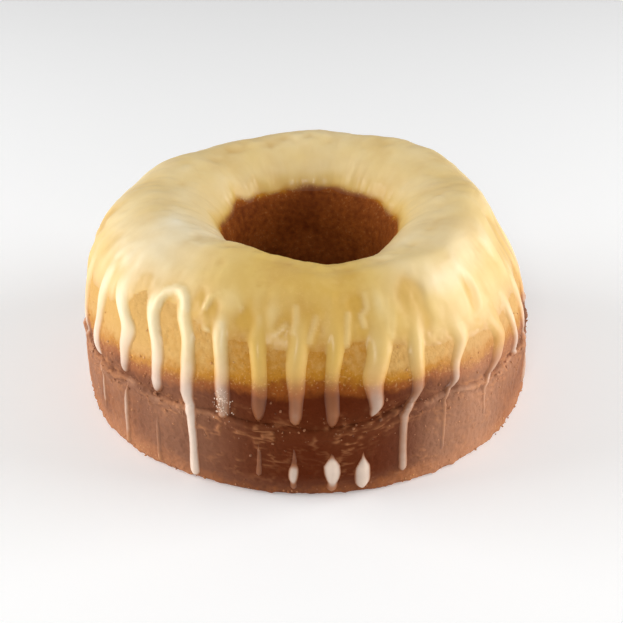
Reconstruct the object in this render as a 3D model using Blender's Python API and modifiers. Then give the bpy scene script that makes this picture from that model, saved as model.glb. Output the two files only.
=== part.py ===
"""A glazed ring cake: one solid, with the thick drips of its glaze fused on.

The cake stands on its flat base at z = 0, about the Z axis, and its front is at -Y.
An azimuth is measured from the front, positive towards +X. The ring and its drips are
first made on an even, round form, and the last step moves that form to the uneven
shape that a risen cake has. Lengths are in metres.
"""

import math
import random
from typing import NamedTuple

import bmesh
import bpy
import numpy as np
from mathutils import Vector

MM = 0.001

# Driving dimensions of the even ring
BASE_RADIUS = 80.5 * MM
CREST_RADIUS = 53.0 * MM
CREST_HEIGHT = 70.0 * MM
LEDGE_HEIGHT = 27.0 * MM
LEDGE_DEPTH = 1.4 * MM
LIP_HEIGHT = 1.2 * MM
WALL_RADIUS = 27.5 * MM
WALL_FLARE = 1.0 * MM
INNER_DROP = 26.0 * MM
CORNER_RADIUS = 1.4 * MM
CROWN_POWER = 1.88

# How finely the ring is divided
ROUND_STEPS = 80
OUTER_STEPS = 9
INNER_STEPS = 6
CORNER_STEPS = 2
WELD_DISTANCE = 0.005 * MM

# Unevenness of the risen form, where azimuths are in degrees and phases in radians
OUTSIDE_FROM = 45.0 * MM
OUTSIDE_TO = 61.0 * MM
TILT_FORWARD = 2.4 * MM
TILT_SIDEWAYS = 0.8 * MM
SIDE_BULGE = 2.6 * MM
FRONT_DIP = (5.0, 16.0, -1.2 * MM)
LEDGE_WAVES = (
    (2.0, 13.0, -3.0 * MM),
    (30.0, 11.0, 3.0 * MM),
    (-70.0, 16.0, -3.0 * MM),
    (105.0, 20.0, 1.8 * MM),
    (150.0, 14.0, -2.6 * MM),
    (-165.0, 18.0, 2.2 * MM),
    (-118.0, 13.0, 1.5 * MM),
)
OUT_OF_ROUND = ((1, 0.8, 0.45 * MM), (2, 0.6, 0.30 * MM), (3, -1.0, 0.25 * MM))
LUMPS = (
    (5, 61.0, 0.4, 0.45 * MM),
    (8, -97.0, 2.1, 0.38 * MM),
    (11, 140.0, 4.0, 0.30 * MM),
    (15, -55.0, 5.3, 0.24 * MM),
)
CROWN_WAVES = (
    (3, 0.7, 0.50 * MM),
    (7, 3.9, 0.40 * MM),
    (12, 1.6, 0.30 * MM),
)
RIM_WAVES = ((-38.0, 16.0, 2.0 * MM), (5.0, 12.0, -1.2 * MM), (31.0, 18.0, -4.0 * MM))
RIM_FROM = 50.0 * MM
RIM_TO = 60.0 * MM
RIM_FOOT = 40.0 * MM
RIM_TOP = 60.0 * MM
LIP_CRAGS = ((17, 0.3, 0.45 * MM), (26, 2.2, 0.40 * MM))
LIP_SPREAD = 2.5 * MM

# Drips of the glaze
DRIP_START = 64.0 * MM
SHOULDER_HEIGHT = 48.0 * MM
NECK_HEIGHT = 32.0 * MM
RUN_HEIGHT = 24.0 * MM
LEAN_FROM = 40.0 * MM
LEAN_TO = 59.0 * MM
BEND_SPREAD = 5.5 * MM
START_SINK = 0.3 * MM
FULL_STAND = 1.7 * MM
STAND_WIDTH = 2.0 * MM
DRIP_STEP = 5.2 * MM
DRIP_BEVEL_RESOLUTION = 3

# The drop at a drip's foot and its round tip, measured in the drip's half-widths
DROP_RISE = 1.6
DROP_LENGTH = 2.2
TIP_RISES = (1.3, 0.45, 0.0)
TIP_WIDTHS = (1.0, 0.85, 0.45)

# The drips that the sides and back carry, azimuths in degrees
HIDDEN_DRIPS = 21
HIDDEN_FIRST = 73.0
HIDDEN_LAST = 284.0
HIDDEN_JITTER = 1.8
HIDDEN_DRIFT = 3.0
HIDDEN_RUN_SHARE = 0.65
THIN_RUN = 0.9
THICK_RUN = 1.7
HIDDEN_SEED = 11


class Drip(NamedTuple):
    """One drip: azimuths in degrees, half-widths and height in millimetres.

    The rise is how far above its foot a drop is widest, in the drop's half-widths.
    The bend moves the drip sideways by so many degrees round the height bend_at.
    """

    upper: float
    lower: float
    lean: float
    shoulder: float
    neck: float
    run: float
    bulb: float
    foot: float
    rise: float = DROP_RISE
    bend: float = 0.0
    bend_at: float = 44.0


FRONT_DRIPS = (
    Drip(-64.3, -59.5, -0.6, 3.5, 3.2, 1.0, 1.0, 8.0, bend=-1.6, bend_at=34.0),
    Drip(-51.2, -48.8, -5.5, 4.1, 3.0, 1.4, 1.4, 2.0, bend=3.2, bend_at=45.0),
    Drip(-38.2, -37.6, -4.4, 3.4, 3.1, 1.0, 1.0, 1.8),
    Drip(-28.9, -27.2, -4.2, 3.3, 3.1, 1.9, 2.2, 1.2, bend=1.6, bend_at=51.5),
    Drip(-19.8, -19.7, -1.6, 2.7, 2.8, 0.0, 0.0, 26.0),
    Drip(-11.1, -11.3, -1.2, 2.7, 2.5, 0.9, 1.1, 7.0),
    Drip(-2.8, -3.2, 0.9, 3.2, 2.2, 0.9, 1.9, 2.6, 3.5),
    Drip(5.7, 5.3, 1.8, 3.1, 2.1, 0.9, 2.9, 1.6, 3.1),
    Drip(15.8, 13.0, 3.2, 4.7, 2.0, 0.9, 2.8, 1.8, 1.9),
    Drip(26.3, 22.0, 2.0, 3.2, 2.7, 1.8, 1.8, 5.2),
    Drip(37.0, 33.0, 3.5, 3.9, 2.1, 0.9, 0.9, 8.0, bend=3.2, bend_at=44.5),
    Drip(52.8, 46.6, 3.2, 4.8, 3.2, 0.9, 0.9, 14.0, bend=2.4, bend_at=39.0),
    Drip(62.6, 62.2, 1.5, 2.8, 2.2, 0.0, 0.0, 26.0),
)


def smoothstep(value, low, high):
    """Rise smoothly from 0 at low to 1 at high."""
    t = np.clip((value - low) / (high - low), 0.0, 1.0)
    return t * t * (3.0 - 2.0 * t)


def swell(around, centre, spread):
    """A bell on the circle: 1 at the centre, fading over the spread, in degrees."""
    away = np.degrees(around) - centre
    away = (away + 180.0) % 360.0 - 180.0
    return np.exp(-((away / spread) ** 2))


def crown_radius(height):
    """Outer radius of the even ring above the ledge, a superellipse over height."""
    rise = (height - LEDGE_HEIGHT) / (CREST_HEIGHT - LEDGE_HEIGHT)
    rise = min(max(rise, 0.0), 1.0)
    reach = (1.0 - rise**CROWN_POWER) ** (1.0 / CROWN_POWER)
    return CREST_RADIUS + (BASE_RADIUS - LEDGE_DEPTH - CREST_RADIUS) * reach


def side_radius(height):
    """Outer radius of the even ring, its ledge smoothed to a gentle slope."""
    blend = smoothstep(height, LEDGE_HEIGHT - LIP_HEIGHT, LEDGE_HEIGHT + LIP_HEIGHT)
    return (1.0 - blend) * BASE_RADIUS + blend * crown_radius(height)


def ring_profile():
    """Closed outline of the ring's section at +X, down its outer side from the crest."""
    points = []
    power = 2.0 / CROWN_POWER
    for step in range(OUTER_STEPS + 1):
        angle = 0.5 * math.pi * step / OUTER_STEPS
        out = math.sin(angle) ** power * (BASE_RADIUS - LEDGE_DEPTH - CREST_RADIUS)
        up = math.cos(angle) ** power * (CREST_HEIGHT - LEDGE_HEIGHT)
        points.append((CREST_RADIUS + out, LEDGE_HEIGHT + up))
    points.append((BASE_RADIUS - 0.35 * LEDGE_DEPTH, LEDGE_HEIGHT - 0.2 * LIP_HEIGHT))
    points.append((BASE_RADIUS, LEDGE_HEIGHT - LIP_HEIGHT))
    points.append((BASE_RADIUS + 0.2 * MM, 0.5 * LEDGE_HEIGHT))
    for step in range(CORNER_STEPS + 1):
        angle = 0.5 * math.pi * step / CORNER_STEPS
        out = CORNER_RADIUS * (math.cos(angle) - 1.0)
        up = CORNER_RADIUS * (1.0 - math.sin(angle))
        points.append((BASE_RADIUS + out, up))
    wall_foot = WALL_RADIUS + WALL_FLARE
    points.append((wall_foot + CORNER_RADIUS, 0.0))
    points.append((wall_foot, CORNER_RADIUS))
    points.append((WALL_RADIUS + 0.5 * WALL_FLARE, 0.5 * (CREST_HEIGHT - INNER_DROP)))
    for step in range(INNER_STEPS):
        angle = 0.5 * math.pi * step / INNER_STEPS
        inward = math.cos(angle) * (CREST_RADIUS - WALL_RADIUS)
        down = (1.0 - math.sin(angle)) * INNER_DROP
        points.append((CREST_RADIUS - inward, CREST_HEIGHT - down))
    return points


def make_ring(name):
    """The even ring: the outline turned about Z by a Screw modifier."""
    outline = ring_profile()
    mesh = bpy.data.meshes.new(name + "_outline")
    corners = [(radius, 0.0, height) for radius, height in outline]
    edges = [(index, (index + 1) % len(outline)) for index in range(len(outline))]
    mesh.from_pydata(corners, edges, [])
    ring = bpy.data.objects.new(name, mesh)
    turn = ring.modifiers.new("turn", "SCREW")
    turn.axis = "Z"
    turn.angle = 2.0 * math.pi
    turn.steps = ROUND_STEPS
    turn.render_steps = ROUND_STEPS
    turn.use_merge_vertices = True
    turn.merge_threshold = 0.00001
    return ring


def drip_azimuth(drip, height):
    """Azimuth of a drip's middle line, in degrees, at a height on the even ring."""
    over_ledge = float(smoothstep(height, RUN_HEIGHT, NECK_HEIGHT))
    straight = drip.lower + (drip.upper - drip.lower) * over_ledge
    start = float(smoothstep(height, LEAN_FROM, LEAN_TO))
    bent = math.exp(-(((height - drip.bend_at * MM) / BEND_SPREAD) ** 2))
    return straight + drip.lean * start + drip.bend * bent


def drip_half_width(drip, height):
    """Half-width of a drip: it narrows to its neck and ends in a drop."""
    foot = drip.foot * MM
    if drip.run == 0.0:
        heights = [foot, SHOULDER_HEIGHT]
        widths = [drip.neck * MM, drip.shoulder * MM]
        return float(np.interp(height, heights, widths))
    heights = [RUN_HEIGHT, NECK_HEIGHT, SHOULDER_HEIGHT]
    widths = [drip.run * MM, drip.neck * MM, drip.shoulder * MM]
    width = float(np.interp(height, heights, widths))
    drop_middle = foot + drip.rise * drip.bulb * MM
    near_drop = math.exp(-(((height - drop_middle) / (DROP_LENGTH * drip.bulb * MM)) ** 2))
    return width + (drip.bulb - drip.run) * MM * near_drop


def drip_stand(width):
    """How far a drip of this half-width stands out of the cake."""
    return FULL_STAND * (1.0 - math.exp(-width / STAND_WIDTH))


def drip_heights(drip):
    """Heights of a drip's path, from its buried start down to its round tip."""
    foot = drip.foot * MM
    tip_width = (drip.bulb if drip.run else drip.neck) * MM
    tip = [foot + rise * tip_width for rise in TIP_RISES]
    count = round((DRIP_START - tip[0]) / DRIP_STEP)
    fall = (DRIP_START - tip[0]) / count
    return [DRIP_START - fall * step for step in range(count)] + tip


def make_drip(name, drip):
    """A drip as a tube whose round back is sunk in the cake.

    A segment of a circle with half-width w and height h has the radius
    (w * w + h * h) / (2 * h), so the tube of that radius, sunk until h is left
    above the surface, shows a drip of the wanted width.
    """
    heights = drip_heights(drip)
    shrink = [1.0] * (len(heights) - len(TIP_WIDTHS)) + list(TIP_WIDTHS)
    curve = bpy.data.curves.new(name, "CURVE")
    curve.dimensions = "3D"
    curve.bevel_depth = 1.0
    curve.bevel_resolution = DRIP_BEVEL_RESOLUTION
    curve.use_fill_caps = True
    spline = curve.splines.new("POLY")
    spline.points.add(len(heights) - 1)
    for index, height in enumerate(heights):
        width = drip_half_width(drip, height) * shrink[index]
        stand = drip_stand(width)
        tube = (width * width + stand * stand) / (2.0 * stand)
        shown = float(smoothstep(height, DRIP_START, SHOULDER_HEIGHT))
        sunk = tube - stand * shown + START_SINK * (1.0 - shown)
        slope = (side_radius(height + MM) - side_radius(height - MM)) / (2.0 * MM)
        normal = Vector((1.0, 0.0, -slope)).normalized()
        radius = side_radius(height) - sunk * normal.x
        up = height - sunk * normal.z
        azimuth = math.radians(drip_azimuth(drip, height))
        place = (radius * math.sin(azimuth), -radius * math.cos(azimuth), up, 1.0)
        spline.points[index].co = place
        spline.points[index].radius = tube
    return bpy.data.objects.new(name, curve)


def hidden_drips():
    """The drips round the sides and back, evenly uneven by a seeded draw."""
    draw = random.Random(HIDDEN_SEED)
    spacing = (HIDDEN_LAST - HIDDEN_FIRST) / (HIDDEN_DRIPS - 1)
    drips = []
    for index in range(HIDDEN_DRIPS):
        upper = HIDDEN_FIRST + spacing * index + draw.uniform(-HIDDEN_JITTER, HIDDEN_JITTER)
        lower = upper + draw.uniform(-HIDDEN_DRIFT, HIDDEN_DRIFT)
        lean = draw.uniform(-HIDDEN_DRIFT, HIDDEN_DRIFT)
        shoulder = draw.uniform(2.2, 3.9)
        neck = shoulder * draw.uniform(0.62, 0.85)
        if draw.random() < HIDDEN_RUN_SHARE:
            run = draw.choice((THIN_RUN, THIN_RUN, THICK_RUN))
            bulb = draw.choice((run, run, 1.6 * THICK_RUN))
            foot = draw.uniform(2.0, 13.0)
        else:
            run = bulb = 0.0
            foot = draw.uniform(25.0, 34.0)
        drips.append(Drip(upper, lower, lean, shoulder, neck, run, bulb, foot))
    return drips


def as_mesh(source, name):
    """A new mesh of an object as the viewport shows it, its doubles welded."""
    bpy.context.view_layer.update()
    seen = source.evaluated_get(bpy.context.evaluated_depsgraph_get())
    mesh = bpy.data.meshes.new_from_object(seen)
    mesh.name = name
    work = bmesh.new()
    work.from_mesh(mesh)
    bmesh.ops.remove_doubles(work, verts=work.verts, dist=WELD_DISTANCE)
    bmesh.ops.recalc_face_normals(work, faces=work.faces)
    work.to_mesh(mesh)
    work.free()
    return mesh


def solid_from(source, collection):
    """Replace a curve or a modified object by a plain mesh object."""
    name = source.name
    mesh = as_mesh(source, name)
    solid = bpy.data.objects.new(name + "_solid", mesh)
    solid.matrix_world = source.matrix_world
    collection.objects.link(solid)
    bpy.data.objects.remove(source)
    solid.name = name
    return solid


def fuse(solid, helpers):
    """Join every object of the helper collection to the solid, then remove them."""
    union = solid.modifiers.new("fuse", "BOOLEAN")
    union.operation = "UNION"
    union.operand_type = "COLLECTION"
    union.collection = helpers
    union.solver = "EXACT"
    mesh = as_mesh(solid, solid.name)
    solid.modifiers.remove(union)
    solid.data = mesh
    for helper in list(helpers.objects):
        bpy.data.objects.remove(helper)


def settle(points):
    """Move points of the even ring to the uneven, risen form.

    The crown is higher at the back and dips at the front, the hole's near rim is
    highest at its left, the ledge wanders up and down and its lip is ragged, the left
    side is fuller than the right, and the whole side is a little lumpy. The base stays
    at z = 0 and the hole keeps its radius.
    """
    x, y, z = points.T
    radius = np.hypot(x, y)
    around = np.arctan2(x, -y)
    outside = smoothstep(radius, OUTSIDE_FROM, OUTSIDE_TO)

    crest = TILT_SIDEWAYS * np.sin(around) - TILT_FORWARD * np.cos(around)
    crest += FRONT_DIP[2] * swell(around, FRONT_DIP[0], FRONT_DIP[1])
    for waves, phase, depth in CROWN_WAVES:
        crest += depth * np.sin(waves * around + phase)
    lift = crest * smoothstep(z, LEDGE_HEIGHT, CREST_HEIGHT)

    rim = sum(depth * swell(around, at, spread) for at, spread, depth in RIM_WAVES)
    lift += rim * smoothstep(radius, RIM_TO, RIM_FROM) * smoothstep(z, RIM_FOOT, RIM_TOP)

    wander = sum(depth * swell(around, at, spread) for at, spread, depth in LEDGE_WAVES)
    from_ledge = np.clip((z - LEDGE_HEIGHT) / LEDGE_HEIGHT, -1.0, 1.0)
    lift += wander * outside * (0.5 + 0.5 * np.cos(math.pi * from_ledge))

    up_crown = np.clip((z - LEDGE_HEIGHT) / (CREST_HEIGHT - LEDGE_HEIGHT), 0.0, 1.0)
    push = -SIDE_BULGE * np.sin(around) * np.sin(math.pi * up_crown**2)
    for waves, phase, depth in OUT_OF_ROUND:
        push += depth * np.cos(waves * around + phase)
    lumpy = 0.4 + 0.6 * smoothstep(z, LEDGE_HEIGHT, 1.3 * LEDGE_HEIGHT)
    for waves, climb, phase, depth in LUMPS:
        push += depth * lumpy * np.sin(waves * around + climb * z + phase)
    near_lip = np.exp(-(((z - LEDGE_HEIGHT + LIP_HEIGHT) / LIP_SPREAD) ** 2))
    for waves, phase, depth in LIP_CRAGS:
        push += depth * near_lip * np.sin(waves * around + phase)
        lift += depth * near_lip * outside * np.cos(waves * around + phase)

    new_radius = radius + push * outside
    return np.column_stack((x * new_radius / radius, y * new_radius / radius, z + lift))


def settle_mesh(mesh):
    """Apply the uneven form to every vertex of a mesh."""
    flat = np.empty(3 * len(mesh.vertices))
    mesh.vertices.foreach_get("co", flat)
    mesh.vertices.foreach_set("co", settle(flat.reshape(-1, 3)).ravel())
    mesh.update()


def glazed_crust():
    """Material of the baked, glazed cake."""
    material = bpy.data.materials.new("glazed_crust")
    material.use_nodes = True
    shader = material.node_tree.nodes["Principled BSDF"]
    shader.inputs["Base Color"].default_value = (0.62, 0.36, 0.12, 1.0)
    shader.inputs["Roughness"].default_value = 0.45
    shader.inputs["Metallic"].default_value = 0.0
    return material


def new_collection(name):
    """A collection linked to the scene."""
    collection = bpy.data.collections.new(name)
    bpy.context.scene.collection.children.link(collection)
    return collection


def main():
    """Build the cake."""
    for old in list(bpy.data.objects):
        bpy.data.objects.remove(old)
    cake_parts = new_collection("bundt_cake")
    helpers = new_collection("drips")

    ring = make_ring("cake")
    cake_parts.objects.link(ring)
    cake = solid_from(ring, cake_parts)

    for index, drip in enumerate(list(FRONT_DRIPS) + hidden_drips()):
        curve = make_drip(f"drip_{index:02d}", drip)
        helpers.objects.link(curve)
        helper = solid_from(curve, helpers)
        helper.hide_render = True
        helper.display_type = "WIRE"

    fuse(cake, helpers)
    settle_mesh(cake.data)
    cake.data.materials.clear()
    cake.data.materials.append(glazed_crust())
    cake.data.shade_smooth()
    cake.data.set_sharp_from_angle(angle=math.radians(50.0))


main()
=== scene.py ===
"""Looks of a glazed ring cake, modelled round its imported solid.

Every surface of the cake is a function of two parameters: the azimuth round the Z axis,
measured from the front (-Y) and positive towards +X, and a place along the ring's
section. Surfaces are first worked out on an even, round ring, and the last step, the
same one that shaped the solid, settles them to the uneven form that the cake rose to.
Lengths are in metres. Tables hold azimuths in degrees and lengths in millimetres.
"""

import logging
import math
import random
from dataclasses import dataclass, field
from enum import Enum

import bpy
import numpy as np
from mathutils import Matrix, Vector


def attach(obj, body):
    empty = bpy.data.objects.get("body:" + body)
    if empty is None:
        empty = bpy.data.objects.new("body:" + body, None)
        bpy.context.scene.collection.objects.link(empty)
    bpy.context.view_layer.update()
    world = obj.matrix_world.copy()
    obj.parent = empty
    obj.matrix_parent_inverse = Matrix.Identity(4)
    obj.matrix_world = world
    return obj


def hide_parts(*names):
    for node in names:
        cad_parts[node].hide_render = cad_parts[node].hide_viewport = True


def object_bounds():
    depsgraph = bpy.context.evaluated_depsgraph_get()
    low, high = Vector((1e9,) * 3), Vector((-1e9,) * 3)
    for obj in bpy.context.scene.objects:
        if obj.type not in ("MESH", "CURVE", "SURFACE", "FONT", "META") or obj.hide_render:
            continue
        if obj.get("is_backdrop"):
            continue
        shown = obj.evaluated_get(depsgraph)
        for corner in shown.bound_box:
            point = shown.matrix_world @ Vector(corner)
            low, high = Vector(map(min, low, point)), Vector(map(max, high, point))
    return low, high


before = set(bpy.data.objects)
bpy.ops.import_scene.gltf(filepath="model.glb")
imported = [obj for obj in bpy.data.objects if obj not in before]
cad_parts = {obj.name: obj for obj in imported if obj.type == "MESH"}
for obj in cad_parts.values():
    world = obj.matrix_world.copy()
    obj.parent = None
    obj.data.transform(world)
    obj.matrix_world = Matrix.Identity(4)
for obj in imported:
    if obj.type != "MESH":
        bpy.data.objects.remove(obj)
CAD_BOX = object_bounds()

LOG = logging.getLogger("ring_cake")
NODE = "cake"
BODY = "root"
MM = 0.001
QUARTER = 0.5 * math.pi

Array = np.ndarray
Colour = tuple[float, float, float]
Place = tuple[float, float, float]
Table = tuple[tuple[float, ...], ...]
Piece = bpy.types.Object
Socket = bpy.types.NodeSocket


def smoothstep(value: Array | float, low: Array | float, high: Array | float) -> Array | float:
    """Rise smoothly from 0 at low to 1 at high: t * t * (3 - 2 * t).

    Args:
        value: The number or array to read.
        low: Where the rise starts. It may be above high, for a fall.
        high: Where the rise ends.

    Returns:
        The height of the step at each value, from 0 to 1.
    """
    t = np.clip((value - low) / (high - low), 0.0, 1.0)
    return t * t * (3.0 - 2.0 * t)


def bell(away: Array, spread: float) -> Array:
    """A bell of height 1 round zero: exp(-(away / spread) ** 2)."""
    return np.exp(-((away / spread) ** 2))


def rounded(value: Array) -> Array:
    """A quarter circle's rise from 0 to 1: sqrt(1 - (1 - t) ** 2)."""
    return np.sqrt(1.0 - (1.0 - np.clip(value, 0.0, 1.0)) ** 2)


def wrapped(around: Array, centre: Array | float) -> Array:
    """Signed azimuth from a centre to each point, in degrees, from -180 to 180."""
    return (np.degrees(around) - centre + 180.0) % 360.0 - 180.0


def swell(around: Array, centre: float, spread: float) -> Array:
    """A bell on the circle, with its centre and spread in degrees."""
    return bell(wrapped(around, centre), spread)


def swells(around: Array, table: Table) -> Array:
    """Sum of depth * swell, for rows of centre, spread and depth."""
    return sum(depth * MM * swell(around, at, spread) for at, spread, depth in table)


def waves(around: Array, table: Table, lead: float = 0.0) -> Array:
    """Sum of depth * sin(count * a + phase + lead), for rows of count, phase and depth."""
    return sum(depth * MM * np.sin(count * around + phase + lead) for count, phase, depth in table)


def round_trip(around: Array, table: Table) -> Array:
    """Read rows of azimuth and value, joined by straight pieces round the ring."""
    return np.interp(np.degrees(around), *np.array(table).T, period=360.0)


def run_lengths(points: Array) -> Array:
    """Length along a line of points, from its first to each of them."""
    return np.concatenate(([0.0], np.cumsum(np.hypot(*np.diff(points, axis=0).T))))


def linear(red: float, green: float, blue: float) -> Colour:
    """A display colour, each channel from 0 to 255, as the linear colour shaders read."""
    channels = (red / 255.0, green / 255.0, blue / 255.0)
    return tuple(c / 12.92 if c <= 0.04045 else ((c + 0.055) / 1.055) ** 2.4 for c in channels)


class Noise:
    """Seeded value noise in space, worked out for whole arrays of points."""

    SIZE = 256

    def __init__(self, seed: int) -> None:
        """Draw the lattice values and the order in which the lattice is read."""
        draw = np.random.default_rng(seed)
        self.order = draw.permutation(self.SIZE)
        self.values = draw.uniform(-1.0, 1.0, self.SIZE)

    def at(self, points: Array, cell: float) -> Array:
        """Smooth noise: the eight corners of each cell blended by a smooth step.

        Args:
            points: Places, with three coordinates in the last axis.
            cell: Size of a lattice cell.

        Returns:
            Noise from -1 to 1 at each point.
        """
        place = points / cell
        low = np.floor(place).astype(np.int64)
        share = smoothstep(place - low, 0.0, 1.0)
        total = np.zeros(points.shape[:-1])
        for corner in range(8):
            offset = np.array([corner & 1, corner >> 1 & 1, corner >> 2 & 1])
            weight = np.prod(np.where(offset == 1, share, 1.0 - share), axis=-1)
            x, y, z = np.moveaxis(low + offset, -1, 0)
            step = self.order[(self.order[x % self.SIZE] + y) % self.SIZE]
            total += weight * self.values[(step + z) % self.SIZE]
        return total

    def rough(self, points: Array, cell: float, octaves: int) -> Array:
        """Noise summed over octaves, each half as large and half as strong."""
        return sum(self.at(points + k * 7.3 * cell, cell / 2**k) / 2**k for k in range(octaves))


@dataclass(frozen=True)
class Patch:
    """Places on the even ring: a column of rows by a row of azimuths, or a plain list.

    The normal's two parts are out and up, and down is the length along the section from
    the crest, greater than zero on the outer side.
    """

    around: Array
    radius: Array
    height: Array
    out: Array | float = 0.0
    up: Array | float = 0.0
    down: Array | float = 0.0

    def points(self, push: Array | float = 0.0) -> Array:
        """Places pushed out along the normal.

        Args:
            push: How far each place moves.

        Returns:
            The points (r * sin(a), -r * cos(a), z), with x, y and z in the last axis.
        """
        moved = (self.radius + push * self.out, self.height + push * self.up, self.around)
        radius, height, around = np.broadcast_arrays(*moved)
        return np.stack((radius * np.sin(around), -radius * np.cos(around), height), axis=-1)


@dataclass(frozen=True)
class RingForm:
    """The even ring's section and the way it settles, with the solid's own sizes."""

    base_radius: float = 80.5 * MM
    crest_radius: float = 53.0 * MM
    crest_height: float = 70.0 * MM
    ledge_height: float = 27.0 * MM
    ledge_depth: float = 1.4 * MM
    lip_height: float = 1.2 * MM
    wall_radius: float = 27.5 * MM
    wall_flare: float = 1.0 * MM
    inner_drop: float = 26.0 * MM
    corner_radius: float = 1.4 * MM
    crown_power: float = 1.88
    core_radius: float = 74.0 * MM
    bare_below: float = 60.0 * MM
    outside_between: tuple[float, float] = (45.0 * MM, 61.0 * MM)
    tilt_forward: float = 2.4 * MM
    tilt_sideways: float = 0.8 * MM
    side_bulge: float = 2.6 * MM
    lip_spread: float = 2.5 * MM
    rim_reach: tuple[float, float] = (60.0 * MM, 50.0 * MM)
    rim_heights: tuple[float, float] = (40.0 * MM, 60.0 * MM)
    front_dip: Table = ((5.0, 16.0, -1.2),)
    rim_swells: Table = ((-38.0, 16.0, 2.0), (5.0, 12.0, -1.2), (31.0, 18.0, -4.0))
    ledge_swells: Table = (
        (2.0, 13.0, -3.0), (30.0, 11.0, 3.0), (-70.0, 16.0, -3.0), (105.0, 20.0, 1.8),
        (150.0, 14.0, -2.6), (-165.0, 18.0, 2.2), (-118.0, 13.0, 1.5),
    )
    crown_waves: Table = ((3, 0.7, 0.50), (7, 3.9, 0.40), (12, 1.6, 0.30))
    out_of_round: Table = ((1, 0.8, 0.45), (2, 0.6, 0.30), (3, -1.0, 0.25))
    lip_crags: Table = ((17, 0.3, 0.45), (26, 2.2, 0.40))
    lumps: Table = (
        (5, 61.0, 0.4, 0.45), (8, -97.0, 2.1, 0.38), (11, 140.0, 4.0, 0.30), (15, -55.0, 5.3, 0.24),
    )

    def side_radius(self, height: Array) -> Array:
        """Outer radius at heights, with the ledge smoothed to a gentle slope.

        Args:
            height: Heights on the even ring.

        Returns:
            The radii. Above the ledge they follow (1 - rise ** power) ** (1 / power).
        """
        ledge, lip, power = self.ledge_height, self.lip_height, self.crown_power
        rise = np.clip((height - ledge) / (self.crest_height - ledge), 0.0, 1.0)
        span = self.base_radius - self.ledge_depth - self.crest_radius
        crown = self.crest_radius + span * (1.0 - rise**power) ** (1.0 / power)
        upper = smoothstep(height, ledge - lip, ledge + lip)
        return (1.0 - upper) * self.base_radius + upper * crown

    def outer_line(self) -> Array:
        """Section from the crest down the crown's outer side to the ledge.

        With a from 0 to a quarter turn, the radius leaves the crest by
        sin(a) ** (2 / power) of its span and the height falls as cos(a) ** (2 / power).

        Returns:
            Points as rows of radius and height.
        """
        angle = np.linspace(0.0, QUARTER, 400)
        power = 2.0 / self.crown_power
        span = self.base_radius - self.ledge_depth - self.crest_radius
        rise = self.crest_height - self.ledge_height
        heights = self.ledge_height + rise * np.cos(angle) ** power
        return np.column_stack((self.crest_radius + span * np.sin(angle) ** power, heights))

    def inner_line(self, count: int) -> Array:
        """Section from the hole's wall up the inner crown to the crest.

        Args:
            count: Number of points.

        Returns:
            Points of a quarter ellipse, as rows of radius and height.
        """
        angle = np.linspace(0.0, QUARTER, count)
        inward = (self.crest_radius - self.wall_radius) * np.cos(angle)
        down = self.inner_drop * (1.0 - np.sin(angle))
        return np.column_stack((self.crest_radius - inward, self.crest_height - down))

    def crown_section(self) -> list[tuple[Array, int]]:
        """The crown, hole and base as stretches of a closed line, each with its rows.

        Below the ledge the line tucks in behind the band, which is a surface of its own.

        Returns:
            Stretches of points, as rows of radius and height, and how many rows each has.
        """
        outer = self.outer_line()
        bare = outer[:, 1] < self.bare_below
        core, ledge, corner = self.core_radius, self.ledge_height, self.corner_radius
        tuck = np.array((
            (self.base_radius - 3.2 * MM, ledge - 3.0 * MM),
            (core + 0.4 * MM, 0.5 * ledge),
            (core, 0.8 * MM),
            (core - 0.8 * MM, 0.0),
        ))
        foot = self.wall_radius + self.wall_flare
        half_up = 0.5 * (self.crest_height - self.inner_drop)
        wall = np.array((
            (foot + corner, 0.0),
            (foot + 0.3 * corner, 0.3 * corner),
            (foot, corner),
            (self.wall_radius + 0.5 * self.wall_flare, half_up),
        ))
        inner = self.inner_line(150)[:-1]
        return [(outer[~bare], 14), (outer[bare], 70), (tuck, 7), (wall, 14), (inner, 16)]

    def band_section(self) -> list[tuple[Array, int]]:
        """The lower band, in the same layout: its lip, side and rounded foot, then its back.

        Returns:
            Stretches of points, as rows of radius and height, and how many rows each has.
        """
        edge, ledge, depth, lip = self.base_radius, self.ledge_height, self.ledge_depth, self.lip_height
        side = np.array((
            (edge - 2.30 * depth, ledge + 0.90 * lip),
            (edge - 0.85 * depth, ledge + 0.40 * lip),
            (edge - 0.30 * depth, ledge - 0.15 * lip),
            (edge - 0.05 * depth, ledge - 0.60 * lip),
            (edge, ledge - 1.2 * lip),
            (edge + 0.2 * MM, 0.5 * ledge),
        ))
        angle = np.linspace(0.0, QUARTER, 7)
        corner = self.corner_radius * np.column_stack((np.cos(angle) - 1.0, 1.0 - np.sin(angle)))
        back = np.array((
            (self.core_radius + 0.1 * MM, 0.0),
            (self.core_radius + 0.9 * MM, 0.5 * ledge),
            (edge - 3.5 * MM, ledge - 1.5 * MM),
        ))
        return [(np.vstack((side, corner + (edge, 0.0))), 74), (back, 6)]

    def settle(self, points: Array) -> Array:
        """Move points of the even ring to the uneven, risen form.

        The crown is higher at the back and dips at the front, the hole's near rim is
        highest at its left, the ledge wanders up and down and its lip is ragged, the left
        side is fuller than the right, and the whole side is a little lumpy. The base
        stays at z = 0 and the hole keeps its radius.

        Args:
            points: Places on the even ring, with x, y and z in the last axis.

        Returns:
            The settled places, in the same layout.
        """
        x, y, z = np.moveaxis(points, -1, 0)
        ledge, crest_height = self.ledge_height, self.crest_height
        radius = np.hypot(x, y)
        around = np.arctan2(x, -y)
        outside = smoothstep(radius, *self.outside_between)

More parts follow.
